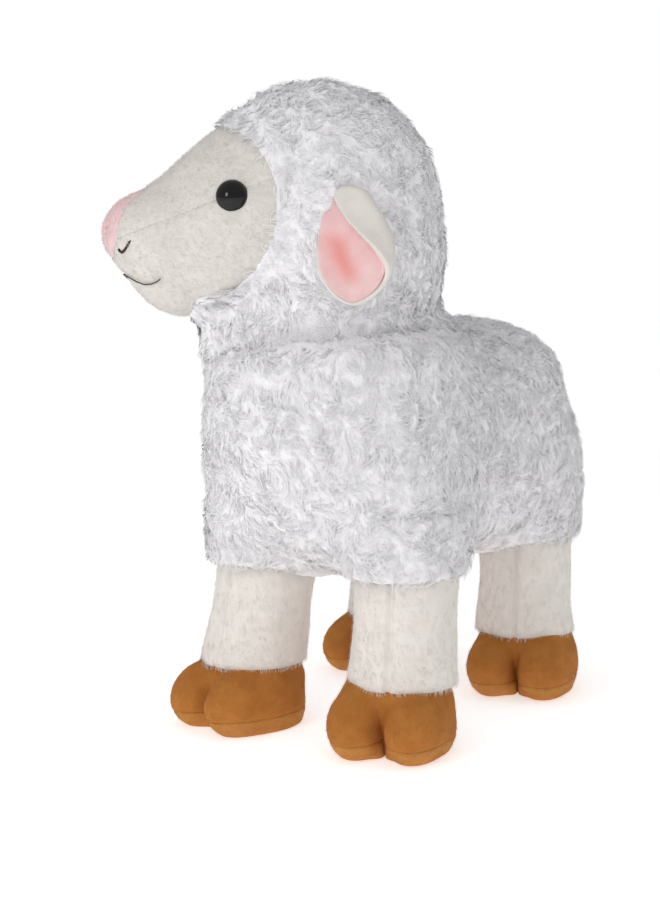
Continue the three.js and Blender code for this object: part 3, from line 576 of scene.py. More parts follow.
def lying_way(tree, root, normal, comb, given):
    """The way in which the pile lies at a root: the comb, stirred by a slow noise, laid flat on the cloth."""
    stir = add(tree, "ShaderNodeTexNoise", {"Vector": root, "Scale": given["Swirl"], "Detail": 1.0})
    centred = {0: stir.outputs["Color"], 1: (0.5, 0.5, 0.5)}
    centred = add(tree, "ShaderNodeVectorMath", centred, operation="SUBTRACT")
    wide = {0: centred.outputs[0], "Scale": given["Stir"]}
    wide = add(tree, "ShaderNodeVectorMath", wide, operation="SCALE")
    both = add(tree, "ShaderNodeVectorMath", {0: wide.outputs[0], 1: comb}, operation="ADD")
    flat = add(tree, "ShaderNodeVectorMath", {0: both.outputs[0], 1: normal}, operation="PROJECT")
    flat = {0: both.outputs[0], 1: flat.outputs[0]}
    flat = add(tree, "ShaderNodeVectorMath", flat, operation="SUBTRACT")
    return add(tree, "ShaderNodeVectorMath", {0: flat.outputs[0]}, operation="NORMALIZE").outputs[0]


def strand_path(tree, root, normal, comb, reach, along, rise, given):
    """A place along one strand: it rises from the cloth, lies over, hooks back down and winds round."""
    way = lying_way(tree, root, normal, comb, given)
    twist = add(tree, "ShaderNodeTexNoise", {"Vector": root, "Scale": given["Swirl"], "Detail": 0.0})
    signed = add(tree, "ShaderNodeMath", {0: twist.outputs["Fac"], 1: 0.5}, operation="SUBTRACT")
    full = add(tree, "ShaderNodeMath", {0: signed.outputs[0], 1: given["Curl"]}, operation="MULTIPLY")
    angle = add(tree, "ShaderNodeMath", {0: full.outputs[0], 1: along}, operation="MULTIPLY")
    spun = add(tree, "ShaderNodeVectorRotate", {"Vector": way, "Axis": normal, "Angle": angle.outputs[0]})
    arc = add(tree, "ShaderNodeMath", {0: along, 1: given["Hook"]}, operation="MULTIPLY")
    arc = add(tree, "ShaderNodeMath", {0: arc.outputs[0]}, operation="SINE")
    high = add(tree, "ShaderNodeMath", {0: arc.outputs[0], 1: given["Height"]}, operation="MULTIPLY")
    high = add(tree, "ShaderNodeMath", {0: high.outputs[0], 1: rise}, operation="MULTIPLY")
    far = add(tree, "ShaderNodeMath", {0: along, 1: given["Length"]}, operation="MULTIPLY")
    out = add(tree, "ShaderNodeVectorMath", {0: spun.outputs[0], "Scale": far.outputs[0]}, operation="SCALE")
    up = add(tree, "ShaderNodeVectorMath", {0: normal, "Scale": high.outputs[0]}, operation="SCALE")
    both = add(tree, "ShaderNodeVectorMath", {0: up.outputs[0], 1: out.outputs[0]}, operation="ADD")
    sized = add(tree, "ShaderNodeVectorMath", {0: both.outputs[0], "Scale": reach}, operation="SCALE")
    return add(tree, "ShaderNodeVectorMath", {0: root, 1: sized.outputs[0]}, operation="ADD").outputs[0]


def pile_roots(tree, given, read, position):
    """Roots scattered on the cloth, each with the nearest of the sparser tufts that it leans towards."""
    scattered = {}
    for kind in ("Tufts", "Strands"):
        density = add(tree, "ShaderNodeMath", {0: read["grow"], 1: given[kind]}, operation="MULTIPLY")
        feeds = {"Mesh": given["Cloth"], "Density": density.outputs[0], "Seed": given["Seed"]}
        scattered[kind] = add(tree, "GeometryNodeDistributePointsOnFaces", feeds).outputs
    tufts = scattered["Tufts"]["Points"]
    for name, what in {"tuft_way": scattered["Tufts"]["Normal"], "tuft_comb": read["comb"]}.items():
        feeds = {"Geometry": tufts, "Name": name, "Value": what}
        store = add(tree, "GeometryNodeStoreNamedAttribute", feeds, data_type="FLOAT_VECTOR", domain="POINT")
        tufts = store.outputs[0]
    near = add(tree, "GeometryNodeSampleNearest", {"Geometry": tufts, "Sample Position": position})
    luck = {"Min": 0.0, "Max": 1.0, "Seed": given["Seed"]}
    luck = add(tree, "FunctionNodeRandomValue", luck, data_type="FLOAT").outputs[1]
    kept = {"root": position, "root_way": scattered["Strands"]["Normal"], "chance": luck}
    led_by = {"tuft_root": position, "tuft_way": read["tuft_way"], "tuft_comb": read["comb"]}
    for name, what in led_by.items():
        feeds = {"Geometry": tufts, "Value": what, "Index": near.outputs[0]}
        sample = add(tree, "GeometryNodeSampleIndex", feeds, data_type="FLOAT_VECTOR", domain="POINT")
        kept[name] = sample.outputs[0]
    points = scattered["Strands"]["Points"]
    for name, what in kept.items():
        feeds = {"Geometry": points, "Name": name, "Value": what}
        kind = ATTRIBUTES[name]
        store = add(tree, "GeometryNodeStoreNamedAttribute", feeds, data_type=kind, domain="POINT")
        points = store.outputs[0]
    return points


def pile_stems(tree, points, given, read, position):
    """One stem on each root, bent along its path, which runs between its own and its tuft's."""
    line = add(tree, "GeometryNodeCurvePrimitiveLine", {"End": (0.0, 0.0, 1.0)})
    stem = add(tree, "GeometryNodeResampleCurve", {"Curve": line.outputs[0], "Count": given["Points"]})
    copies = add(tree, "GeometryNodeInstanceOnPoints", {"Points": points, "Instance": stem.outputs[0]})
    real = add(tree, "GeometryNodeRealizeInstances", {"Geometry": copies.outputs[0]})
    along = add(tree, "GeometryNodeSplineParameter").outputs["Factor"]
    varied = {"Value": read["chance"], "To Min": SHORTEST, "To Max": LONGEST}
    reach = {0: read["length"], 1: add(tree, "ShaderNodeMapRange", varied).outputs[0]}
    reach = add(tree, "ShaderNodeMath", reach, operation="MULTIPLY").outputs[0]
    own, led = (
        strand_path(tree, read[root], read[way], read[comb], reach, along, read["rise"], given)
        for root, way, comb in (("root", "root_way", "comb"), ("tuft_root", "tuft_way", "tuft_comb"))
    )
    pull = add(tree, "ShaderNodeMath", {0: along, 1: given["Pull"]}, operation="MULTIPLY").outputs[0]
    path = add(tree, "ShaderNodeMix", {0: pull, 4: own, 5: led}, data_type="VECTOR").outputs[1]
    curves = add(tree, "GeometryNodeSetPosition", {"Geometry": real.outputs[0], "Position": path}).outputs[0]
    for name, what in {"along": along, "core": position}.items():
        feeds = {"Geometry": curves, "Name": name, "Value": what}
        kind = ATTRIBUTES[name]
        store = add(tree, "GeometryNodeStoreNamedAttribute", feeds, data_type=kind, domain="POINT")
        curves = store.outputs[0]
    taper = add(tree, "ShaderNodeMapRange", {"Value": along, "To Min": 1.0, "To Max": TIP_SHARE}).outputs[0]
    return curves, taper


def pile_tree():
    """Grows thin strands, pressed flat towards the cloth, where and as the cloth's attributes say."""
    tree = bpy.data.node_groups.new("Pile on a cloth", "GeometryNodeTree")
    sockets = tree.interface
    sockets.new_socket("Cloth", in_out="INPUT", socket_type="NodeSocketGeometry")
    for name, value in PILE_SIZES.items():
        sockets.new_socket(name, in_out="INPUT", socket_type="NodeSocketFloat").default_value = value
    sockets.new_socket("Points", in_out="INPUT", socket_type="NodeSocketInt")
    sockets.new_socket("Seed", in_out="INPUT", socket_type="NodeSocketInt")
    sockets.new_socket("Fibre", in_out="INPUT", socket_type="NodeSocketMaterial")
    sockets.new_socket("Pile", in_out="OUTPUT", socket_type="NodeSocketGeometry")
    given = add(tree, "NodeGroupInput").outputs
    position = add(tree, "GeometryNodeInputPosition").outputs[0]
    read = {}
    for name, kind in ATTRIBUTES.items():
        read[name] = add(tree, "GeometryNodeInputNamedAttribute", {"Name": name}, data_type=kind).outputs[0]
    points = pile_roots(tree, given, read, position)
    curves, taper = pile_stems(tree, points, given, read, position)

    # Their thickness and their map
    ring = {"Resolution": 3, "Radius": given["Radius"]}
    ring = add(tree, "GeometryNodeCurvePrimitiveCircle", ring, mode="RADIUS").outputs[0]
    feeds = {"Curve": curves, "Profile Curve": ring, "Scale": taper, "Fill Caps": True}
    tube = add(tree, "GeometryNodeCurveToMesh", feeds)
    flat = add(tree, "ShaderNodeCombineXYZ", {"X": read["chance"], "Y": read["along"]})
    feeds = {"Geometry": tube.outputs[0], "Name": "OFBake", "Value": flat.outputs[0]}
    mapped = add(tree, "GeometryNodeStoreNamedAttribute", feeds, data_type="FLOAT2", domain="CORNER")

    # Pressed towards the cloth, so that few of their sides turn dark
    beside = add(tree, "ShaderNodeVectorMath", {0: position, 1: read["core"]}, operation="SUBTRACT")
    up = {0: beside.outputs[0], 1: read["root_way"]}
    up = add(tree, "ShaderNodeVectorMath", up, operation="PROJECT")
    less = add(tree, "ShaderNodeVectorMath", {0: up.outputs[0], "Scale": given["Flat"]}, operation="SCALE")
    place = add(tree, "ShaderNodeVectorMath", {0: position, 1: less.outputs[0]}, operation="SUBTRACT")
    feeds = {"Geometry": mapped.outputs[0], "Position": place.outputs[0]}
    pressed = add(tree, "GeometryNodeSetPosition", feeds)
    smooth = add(tree, "GeometryNodeSetShadeSmooth", {"Geometry": pressed.outputs[0]})

    # Lit partly as the cloth below them is, and given their material
    own = add(tree, "GeometryNodeInputNormal").outputs[0]
    cloth = {0: given["Calm"], 4: read["root_way"], 5: read["calm"]}
    cloth = add(tree, "ShaderNodeMix", cloth, data_type="VECTOR").outputs[1]
    soft = add(tree, "ShaderNodeMix", {0: given["Softness"], 4: own, 5: cloth}, data_type="VECTOR")
    feeds = {"Mesh": smooth.outputs[0], "Custom Normal": soft.outputs[1]}
    lit = add(tree, "GeometryNodeSetMeshNormal", feeds, mode="FREE", domain="CORNER")
    solid = add(tree, "GeometryNodeRealizeInstances", {"Geometry": lit.outputs[0]})
    feeds = {"Geometry": solid.outputs[0], "Material": given["Fibre"]}
    dressed = add(tree, "GeometryNodeSetMaterial", feeds)
    add(tree, "NodeGroupOutput", {0: dressed.outputs[0]})
    return tree


PILE = pile_tree()
THINNING = 1


def plain_mesh(made, modifier):
    """Turns what a tree of nodes makes into the object's own plain mesh, without what the tree kept on it."""
    graph = bpy.context.evaluated_depsgraph_get()
    mesh = bpy.data.meshes.new_from_object(made.evaluated_get(graph))
    made.modifiers.remove(modifier)
    made.data = mesh
    for name in [a.name for a in mesh.attributes if a.domain == "POINT"]:
        if name != "position" and not name.startswith("."):
            mesh.attributes.remove(mesh.attributes[name])


def tree_inputs(modifier, values):
    for item in modifier.node_group.interface.items_tree:
        if item.in_out == "INPUT" and item.name in values:
            modifier[item.identifier] = values[item.name]


def grow_pile(name, cloth, body, sizes, fibre, seed, where=None, points=4, ride=True):
    """Grows pile on a cloth, as a plain mesh of its own that rides on a body."""
    piece = bpy.data.objects.new(name, cloth.data.copy())
    bpy.context.scene.collection.objects.link(piece)
    if where is not None:
        piece.data.attributes["grow"].data.foreach_set("value", np.asarray(where, np.float32))
    modifier = piece.modifiers.new("pile", "NODES")
    modifier.node_group = PILE
    values = {**PILE_SIZES, **sizes, "Points": points, "Seed": seed, "Fibre": fibre}
    values["Strands"] *= THINNING
    tree_inputs(modifier, values)
    plain_mesh(piece, modifier)
    piece.data.name = name
    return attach(piece, body) if ride else piece


# Shapes turned about an axis, and tubes that follow a path
ON_AXIS = 0.01  # a radius that closes a profile


def ring_faces(rows, around):
    """Quads between neighbouring rows of points, where each row is a closed ring."""
    faces = []
    for row in range(rows - 1):
        for k in range(around):
            a, b = row * around + k, row * around + (k + 1) % around
            faces.append((a, b, b + around, a + around))
    return faces


def turned(profile, sides):
    """Points and faces of a closed profile (radius, height) turned about the upright axis."""
    profile = np.array(profile, float)
    angles = np.arange(sides) * math.tau / sides
    rings = profile[:, None, :1] * np.stack([np.cos(angles), np.sin(angles)], -1)
    heights = np.repeat(profile[:, 1:2, None], sides, 1)
    points = np.concatenate([rings, heights], -1).reshape(-1, 3)
    faces = ring_faces(len(profile), sides)
    points = np.concatenate([points, [(0, 0, profile[0, 1]), (0, 0, profile[-1, 1])]])
    foot, top = len(points) - 2, len(points) - 1
    last = (len(profile) - 1) * sides
    for k in range(sides):
        faces.append((foot, (k + 1) % sides, k))
        faces.append((top, last + k, last + (k + 1) % sides))
    return points, faces


def tube_round(path, radii, sides=8):
    """Points and faces of a round tube with closed ends along a path."""
    path = np.array(path, float)
    ways = np.gradient(path, axis=0)
    ways /= np.linalg.norm(ways, axis=1)[:, None]
    across = np.cross(ways, (0.3, 0.5, 0.81))
    across /= np.linalg.norm(across, axis=1)[:, None]
    over = np.cross(ways, across)
    angles = np.arange(sides) * math.tau / sides
    ring = across[:, None] * np.cos(angles)[:, None] + over[:, None] * np.sin(angles)[:, None]
    points = (path[:, None] + ring * np.asarray(radii)[:, None, None]).reshape(-1, 3)
    faces = ring_faces(len(path), sides)
    faces.append(tuple(range(sides))[::-1])
    faces.append(tuple((len(path) - 1) * sides + k for k in range(sides)))
    return points, faces


def join_shapes(shapes):
    points, faces, start = [], [], 0
    for some, those in shapes:
        points.append(some)
        faces += [tuple(start + i for i in face) for face in those]
        start += len(some)
    return np.concatenate(points), faces


def lumps(points, size, lift, seed=0):
    """How far an uneven filling pushes a cloth out at each point."""
    shift = Vector((seed * 7.3, seed * 3.1, seed * 5.7))
    return np.array([noise.noise(Vector(p) / size + shift) for p in points]) * lift


def curls(points, size, lift, seed=0):
    """How far curly pile stands up at each point: round locks with narrow creases between them."""
    shift = Vector((seed * 4.1, seed * 9.7, seed * 2.3))
    found = []
    for point in points:
        spot = Vector(point) / size + shift
        found.append(abs(noise.noise(spot + noise.noise_vector(spot * 0.5) * 1.2)))
    return np.array(found) * lift


def ways_out(points, distance):
    """The outward direction of a form at each point."""
    step = 0.05
    slope = np.stack([distance(points + axis) - distance(points - axis) for axis in np.eye(3) * step], -1)
    return slope / np.maximum(np.linalg.norm(slope, axis=-1), 1e-9)[:, None]


# Torso
BODY_FUR = {
    "Strands": 330000.0,
    "Tufts": 60000.0,
    "Length": 5.5 * MM,
    "Height": 1.4 * MM,
    "Radius": 0.19 * MM,
    "Softness": 0.95,
    "Pull": 0.4,
    "Calm": 0.9,
    "Stir": 3.0,
}
CURL_SIZE = 5.5
CURL_LIFT = 3.6
LUMP_SIZE = 14
LUMP_LIFT = 1.2
FUR_VOXEL = 1.6
FINE_VOXEL = 1.2
BODY_BOX = ((-80, -128, -30), (80, 126, 114))
BARE_DEPTH = 9  # below the outside of the torso's fur, where none grows
# Regions that the body fur is made in: how far back each reaches
BODY_REGIONS = {"chest": (-200, -46), "flank": (-46, 36), "rump": (36, 200)}
# The comb, as a way and a strength: down the chest, and back along the flanks
CHEST_COMB = (0, 0, -0.8)
FLANK_COMB = (0, 1.0, 0)


def body_comb(p):
    flank = ramp(p[:, 1], -70, -10) * ramp(p[:, 2], -10, 20)
    return np.array(CHEST_COMB) + np.array(FLANK_COMB) * flank[:, None]


def build_body():
    points, quads = polygonise(body_distance, *BODY_BOX, FUR_VOXEL)
    outside = np.abs(body_outside(points)) < FUR_VOXEL / 2
    above_hem = points[:, 2] + HEM_DROP
    bumps = curls(points, CURL_SIZE, CURL_LIFT, 1) + lumps(points, LUMP_SIZE, LUMP_LIFT, 2)
    bumps *= ramp(above_hem, 4, 12) * outside
    bumped = points + ways_out(points, body_distance) * bumps[:, None]
    body = mesh_piece("body_backing", bumped, quads, TORSO_PLACE, FUR_BACKING)
    grow = outside & (torso_distance(points) > -BARE_DEPTH) & (points[:, 2] > -HEM_DROP - 1)
    hem = ramp(above_hem, 6, -4)
    calm = ways_out(points, body_outside)
    ready_for_pile(body, grow * (1 + 0.5 * hem), 1 - 0.2 * hem, body_comb(points), calm=calm)
    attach(body, "torso")
    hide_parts("body_cover", "body_filling")
    for number, (region, (near, far)) in enumerate(BODY_REGIONS.items()):
        for name, side in SIDES.items():
            here = grow & (points[:, 1] >= near) & (points[:, 1] < far) & (points[:, 0] * side > 0)
            fur = grow_pile(f"fur_{region}_{name}", body, "torso", BODY_FUR, FUR_STRAND, 10 + number, here)


# Head
HEAD_FUR = {**BODY_FUR, "Length": 5 * MM, "Swirl": 90.0}
HEAD_BOX = ((-62, -118, -62), (62, 66, 92))
# The comb, as a way and a strength: back over the crown, down round the jaw, and forward at the face
CROWN_COMB = (0, 0.5, -0.4)
JAW_COMB = (0, 0, -1.6)
EDGE_COMB = 2.6
BROW_ROLL = 1.2  # how far the fur rolls up beside the face, above and below
JAW_ROLL = 2.4


def head_comb(p):
    near = np.clip(1.4 - face_seam(p) / 8, 0, 1)[:, None]
    down = ramp(p[:, 2], 4, -8)[:, None] * JAW_COMB
    return CROWN_COMB - near * EDGE_COMB * ways_out(p, face_seam) + down * (1 - near)


def near_ears(made):
    """Where a mesh lies below the root of an ear."""
    places = np.array([v.co for v in made.data.vertices])
    found = np.zeros(len(places), bool)
    for name, side in SIDES.items():
        own = np.array(ear_place(name, side).inverted())
        p = places @ own[:3, :3].T + own[:3, 3]
        found |= (np.abs(p - EAR_ROOT_MIDDLE) < EAR_ROOT_HALF).all(1)
    return found


def build_head():
    points, quads = polygonise(head_core_distance, *HEAD_BOX, FUR_VOXEL)
    seam = face_seam(points)
    high = points[:, 2]
    bumps = curls(points, CURL_SIZE, CURL_LIFT, 5) + lumps(points, LUMP_SIZE, LUMP_LIFT, 6)
    bumps += BROW_ROLL * bell(seam - 8, 5) * ramp(high, 20, 40)
    bumps += JAW_ROLL * bell(seam - 5, 4) * ramp(high, 0, -10)
    bumps *= ramp(high, -28, -20) * ramp(seam, -1, 4)
    bumped = points + ways_out(points, head_core_distance) * bumps[:, None]
    core = mesh_piece("head_backing", bumped, quads, HEAD_PLACE, FUR_BACKING)
    grow = (seam > 0.2) & (high > -NECK_SEAM_DROP + 3)
    edge = np.clip(1 - seam / 6, 0, 1)
    calm = ways_out(points, head_core_distance)
    length = (1 + 0.35 * edge) * (1 - 0.6 * near_ears(core))
    ready_for_pile(core, grow * (1 + edge), length, head_comb(points), HEAD_SPIN, 1 + 0.3 * edge, calm)
    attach(core, "head")
    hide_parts("head_cover", "head_filling")
    for number, (name, side) in enumerate(SIDES.items()):
        here = grow & (points[:, 0] * side > 0)
        fur = grow_pile(f"fur_head_{name}", core, "head", HEAD_FUR, FUR_STRAND, 20 + number, here)


# Neck ruff: the fur cloth that carries the head's fur on over the neck and on to the torso
RUFF_START = math.radians(28)  # below the neck's joint, where the groove is
RUFF_FILL = 16
RUFF_FILL_AHEAD = 18  # more, below the chin
RUFF_FILL_BEHIND = 16  # more, where the nape runs on to the back
RUFF_COLUMNS = 230
RUFF_STEP = 1.5
RUFF_ROWS_UP = 15
RUFF_ROWS_DOWN = 17
RUFF_WALL = 1.2
RUFF_OVERLAP = 4  # rows of the lower band that reach up inside the upper one
RUFF_SUNK_ABOVE = 1.2
RUFF_SUNK_BELOW = 6  # deep enough to stay hidden when the neck turns
# The lower band stays with the torso below the first height, and turns with the neck above the second
RUFF_TURN_HEIGHTS = (-53, -29)
# Ahead and up: the upper band stays with the neck behind the first place, and nods with the head past
# the second
RUFF_NOD_PLACES = ((58, -32), (74, -14))
RUFF_COMB = (0, 0.3, -1.6)
RUFF_REACH = np.arange(52, 110, 0.1)  # places tried along a way out, for the groove
RUFF_TUCK_START = 0.4  # share of a band's width, from where it dips below the fur beside it
RUFF_BARE_EDGE = 0.97


def from_head(p):
    """Places about the hips' middle as the head has them, about its own joint."""
    q = p - PIVOT
    cos, sin = math.cos(HEAD_TURN), math.sin(HEAD_TURN)
    return np.stack([q[..., 0] * cos + q[..., 1] * sin, q[..., 1] * cos - q[..., 0] * sin, q[..., 2]], -1)


def neck_form(p):
    """The head and the torso run together, with the groove between them filled."""
    q = from_head(p)
    behind = ramp(p[..., 1] - PIVOT[1], 0, 50)
    fill = RUFF_FILL + RUFF_FILL_AHEAD * ramp(q[..., 1], 0, -50) + RUFF_FILL_BEHIND * behind
    return soft_lesser(head_outside(q), torso_below_rim(p), fill) + FUR_DEPTH


def ruff_rows():
    """Rows of places on the neck's form, from its lower edge to its upper one, each row all the way round."""
    angles = np.arange(RUFF_COLUMNS) * math.tau / RUFF_COLUMNS
    out = np.stack([np.cos(angles), np.sin(angles), 0 * angles], -1)
    up = np.array((0, 0, 1.0))
    way = out * math.cos(RUFF_START) - up * math.sin(RUFF_START)
    outside = neck_form(PIVOT + way[:, None] * RUFF_REACH[None, :, None]) > 0
    start = PIVOT + way * RUFF_REACH[outside.argmax(1)][:, None]
    rows = [start]
    for side, count in ((1, RUFF_ROWS_UP), (-1, RUFF_ROWS_DOWN)):
        here = start
        for _ in range(count):
            for ahead in (RUFF_STEP * side, 0):
                value = neck_form(here)
                slope_out = (neck_form(here + out * 0.1) - value) / 0.1
                slope_up = (neck_form(here + up * 0.1) - value) / 0.1
                steep = np.maximum(np.hypot(slope_out, slope_up), 0.2)
                along = out * (-slope_up / steep)[:, None] + up * (slope_out / steep)[:, None]
                square = out * (slope_out / steep)[:, None] + up * (slope_up / steep)[:, None]
                here = here + along * ahead - square * (value / steep)[:, None]
            if side > 0:
                rows.append(here)
            else:
                rows.insert(0, here)
    return np.array(rows)


def ruff_band(name, outer, inner, grow, way, number, bodies, start, end):
    """A closed band of cloth from some of the rows, with its fur, bent between two bodies."""
    count, around = outer.shape[:2]
    points = np.concatenate([outer, inner]).reshape(-1, 3)
    faces = []
    for a, b, c, d in ring_faces(count, around):
        faces.append((a, b, c, d))
        faces.append(tuple(i + count * around for i in (a, d, c, b)))
    for row in (0, count - 1):
        for k in range(around):
            a, b = row * around + k, row * around + (k + 1) % around
            rim = (a, a + count * around, b + count * around, b)
            faces.append(rim if row == 0 else rim[::-1])
    band = mesh_piece(name, points, faces, TORSO_PLACE, FUR_BACKING)
    grow = np.concatenate([grow.ravel(), np.zeros(count * around, bool)])
    ready_for_pile(band, grow, 1, RUFF_COMB, calm=np.concatenate([way, -way]).reshape(-1, 3))
    for step, (half, side) in enumerate(SIDES.items()):
        here = grow * (points[:, 0] * side > 0)
        fur_name = f"{name}_fur_{half}"
        fur = grow_pile(fur_name, band, bodies[1], HEAD_FUR, FUR_STRAND, number + step, here, ride=False)
        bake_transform(fur, *bodies, start, end)
    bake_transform(band, *bodies, start, end)


def build_ruff():
    rows = ruff_rows()
    size = rows.shape[:2]
    below = np.linspace(-1, 0, RUFF_ROWS_DOWN, endpoint=False)
    share = np.concatenate([below, np.linspace(0, 1, RUFF_ROWS_UP + 1)])
    flat = rows.reshape(-1, 3)
    way = ways_out(flat, neck_form).reshape(rows.shape)
    bumps = curls(flat, CURL_SIZE, CURL_LIFT, 1) + lumps(flat, LUMP_SIZE, LUMP_LIFT, 2)
    bumps = bumps.reshape(size)
    to_head = (head_outside(from_head(flat)) + FUR_DEPTH).reshape(size)
    gap = np.minimum(to_head, (torso_below_rim(flat) + FUR_DEPTH).reshape(size))
    seam = face_seam(from_head(flat)).reshape(size)
    near_face = np.clip(1 - seam / 8, 0, 1)
    shelf = FUR_DEPTH - np.interp(seam, EDGE_DISTANCES, RUFF_EDGE_DEPTHS) - to_head
    tuck = eased(np.clip((np.abs(share) - RUFF_TUCK_START) / 0.6, 0, 1))[:, None]
    lift = bumps * (1 - near_face) + shelf * near_face
    sunk = np.where(share < 0, RUFF_SUNK_BELOW, RUFF_SUNK_ABOVE)[:, None]
    lift = lift * (1 - tuck) - (gap + sunk) * tuck
    outer = rows + way * lift[..., None]
    inner = outer - way * RUFF_WALL
    grow = (np.abs(share)[:, None] < RUFF_BARE_EDGE) & (seam > 0.3)
    joint = joint_place("head_turn")
    ahead = HEAD_SPIN @ Vector((0, -1, 0))
    turn_ends = [(joint + Vector((0, 0, z))) * MM for z in RUFF_TURN_HEIGHTS]
    nod_ends = [(joint + ahead * forward + Vector((0, 0, z))) * MM for forward, z in RUFF_NOD_PLACES]
    low, high = slice(0, RUFF_ROWS_DOWN + 1 + RUFF_OVERLAP), slice(RUFF_ROWS_DOWN, None)
    under = way[low] * (np.arange(low.stop) > RUFF_ROWS_DOWN)[:, None, None] * (RUFF_WALL + 0.8)
    lower = outer[low] - under, inner[low] - under
    ruff_band("neck_ruff", *lower, grow[low], way[low], 26, ("torso", "neck"), *turn_ends)
    ruff_band("chin_ruff", outer[high], inner[high], grow[high], way[high], 28, ("neck", "head"), *nod_ends)


def mouth_distance(p):
    aside, heights = np.transpose(MOUTH_PLACES)
    line = np.interp(np.abs(p[..., 0]), aside, heights)
    beyond = np.maximum(np.abs(p[..., 0]) - aside[-1], 0)
    ahead = np.maximum(p[..., 1] + FACE_SEAM_FORWARD - 8, 0)
    return np.sqrt((p[..., 2] - line) ** 2 + beyond**2 + ahead**2)


def face_creases(points):
    """How far the cloth is drawn in along its seams and below the mouth's thread."""
    deep = bell(bridge_seam(points), SEAM_WIDTH) * (nose_seam(points) > 0)
    deep = np.maximum(deep, bell(nose_seam(points), SEAM_WIDTH))
    deep = np.maximum(deep, 1.6 * bell(face_seam(points), SEAM_WIDTH * 2))
    below = (points[:, 2] < NOSE_RISE + 1) & (points[:, 1] < -FACE_HALF_WIDTH)
    deep = np.maximum(deep, bell(points[:, 0], SEAM_WIDTH) * below)
    deep = np.maximum(deep, 1.5 * bell(mouth_distance(points), SEAM_WIDTH * 1.3))
    return deep * SEAM_DEPTH


def cut_along(mesh, distances):
    """Cuts the faces of a mesh along the lines where each distance is zero."""
    for distance in distances:
        mesh.verts.index_update()
        values = distance(np.array([v.co for v in mesh.verts]))
        values[np.abs(values) < 0.02] = 0.02
        crossed = [e for e in mesh.edges if values[e.verts[0].index] * values[e.verts[1].index] < 0]
        made = []
        for edge in crossed:
            a, b = (values[v.index] for v in edge.verts)
            made.append(bmesh.utils.edge_split(edge, edge.verts[0], a / (a - b))[1])
        bmesh.ops.connect_verts(mesh, verts=made)


PANELS = {"face_bridge": PLUSH, "cheek_left": PLUSH, "cheek_right": PLUSH, "nose_patch": PINK}
PANEL_SLOTS = {"face_bridge": "short_plush", "cheek_left": "short_plush", "cheek_right": "short_plush"}
NAP = {
    "Strands": 700000.0,
    "Tufts": 90000.0,
    "Length": 1.0 * MM,
    "Height": 0.8 * MM,
    "Radius": 0.09 * MM,
    "Hook": 2.0,
    "Curl": 1.5,
    "Swirl": 120.0,
    "Stir": 2.0,
    "Pull": 0.25,
}
FACE_BOX = ((-56, -118, -38), (56, -28, 78))


def panel_of(point):
    spot = np.array([point])
    if nose_seam(spot)[0] < 0:
        return "nose_patch"
    if bridge_seam(spot)[0] < 0:
        return "face_bridge"
    return "cheek_left" if point[0] > 0 else "cheek_right"


def build_face():
    points, quads = polygonise(head_form, *FACE_BOX, FINE_VOXEL)
    near = face_seam(points) < 4
    whole = bmesh.new()
    verts = [whole.verts.new(p) for p in points]
    for quad in quads:
        if near[quad].all():
            whole.faces.new([verts[i] for i in quad])
    bmesh.ops.delete(whole, geom=[v for v in whole.verts if not v.link_faces], context="VERTS")
    cut_along(whole, [face_seam, bridge_seam, nose_seam, lambda p: p[..., 0]])
    whole.faces.index_update()
    middles = np.array([f.calc_center_median() for f in whole.faces])
    outside = face_seam(middles) > 0
    owners = [None if out else panel_of(middle) for middle, out in zip(middles, outside)]
    for name, cloth in PANELS.items():
        panel = whole.copy()
        panel.faces.ensure_lookup_table()
        others = [f for f, owner in zip(panel.faces, owners) if owner != name]
        bmesh.ops.delete(panel, geom=others, context="FACES")
        places = np.array([v.co for v in panel.verts])
        out = ways_out(places, head_form)
        push = lumps(places, 22, 0.7, 3) + lumps(places, 7, 0.25, 4) - face_creases(places)
        for vert, place in zip(panel.verts, places + out * push[:, None]):
            vert.co = place
        mesh = bpy.data.meshes.new(name)
        panel.to_mesh(mesh)
        panel.free()
        mesh.transform(HEAD_PLACE)
        mesh.polygons.foreach_set("use_smooth", [True] * len(mesh.polygons))
        mesh.materials.append(cloth)
        made = bpy.data.objects.new(f"{name}_plush", mesh)
        bpy.context.scene.collection.objects.link(made)
        ready_for_pile(made, 1, 1, (0, 0.6, -0.3), HEAD_SPIN)
        slot = PANEL_SLOTS.get(name, "pink_plush")
        fibre = PLUSH_NAP if slot == "short_plush" else PINK_NAP
        nap = grow_pile(f"{name}_nap", made, "head", NAP, fibre, 31, points=3)
        wall = made.modifiers.new("cloth", "SOLIDIFY")
        wall.thickness = FACE_CLOTH * MM
        wall.offset = -1
        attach(made, "head")
        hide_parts(name)
    whole.free()


# Where a ray from inside the head meets its skin
FACE_HEART = (0, -26, 14.5)


def skin_place(aim, start=FACE_HEART, depth=0):
    way = np.array(aim, float) - start
    way /= np.linalg.norm(way)
    steps = np.linspace(20, 100, 4001)
    ray = np.array(start) + steps[:, None] * way
    inside = head_form(ray) + depth < 0
    place = ray[inside][-1]
    return place, ways_out(place[None], head_form)[0]


def facing(place, look):
    turn = Vector(look).to_track_quat("Z", "Y").to_matrix().to_4x4()
    return HEAD_PLACE @ Matrix.Translation(place) @ turn


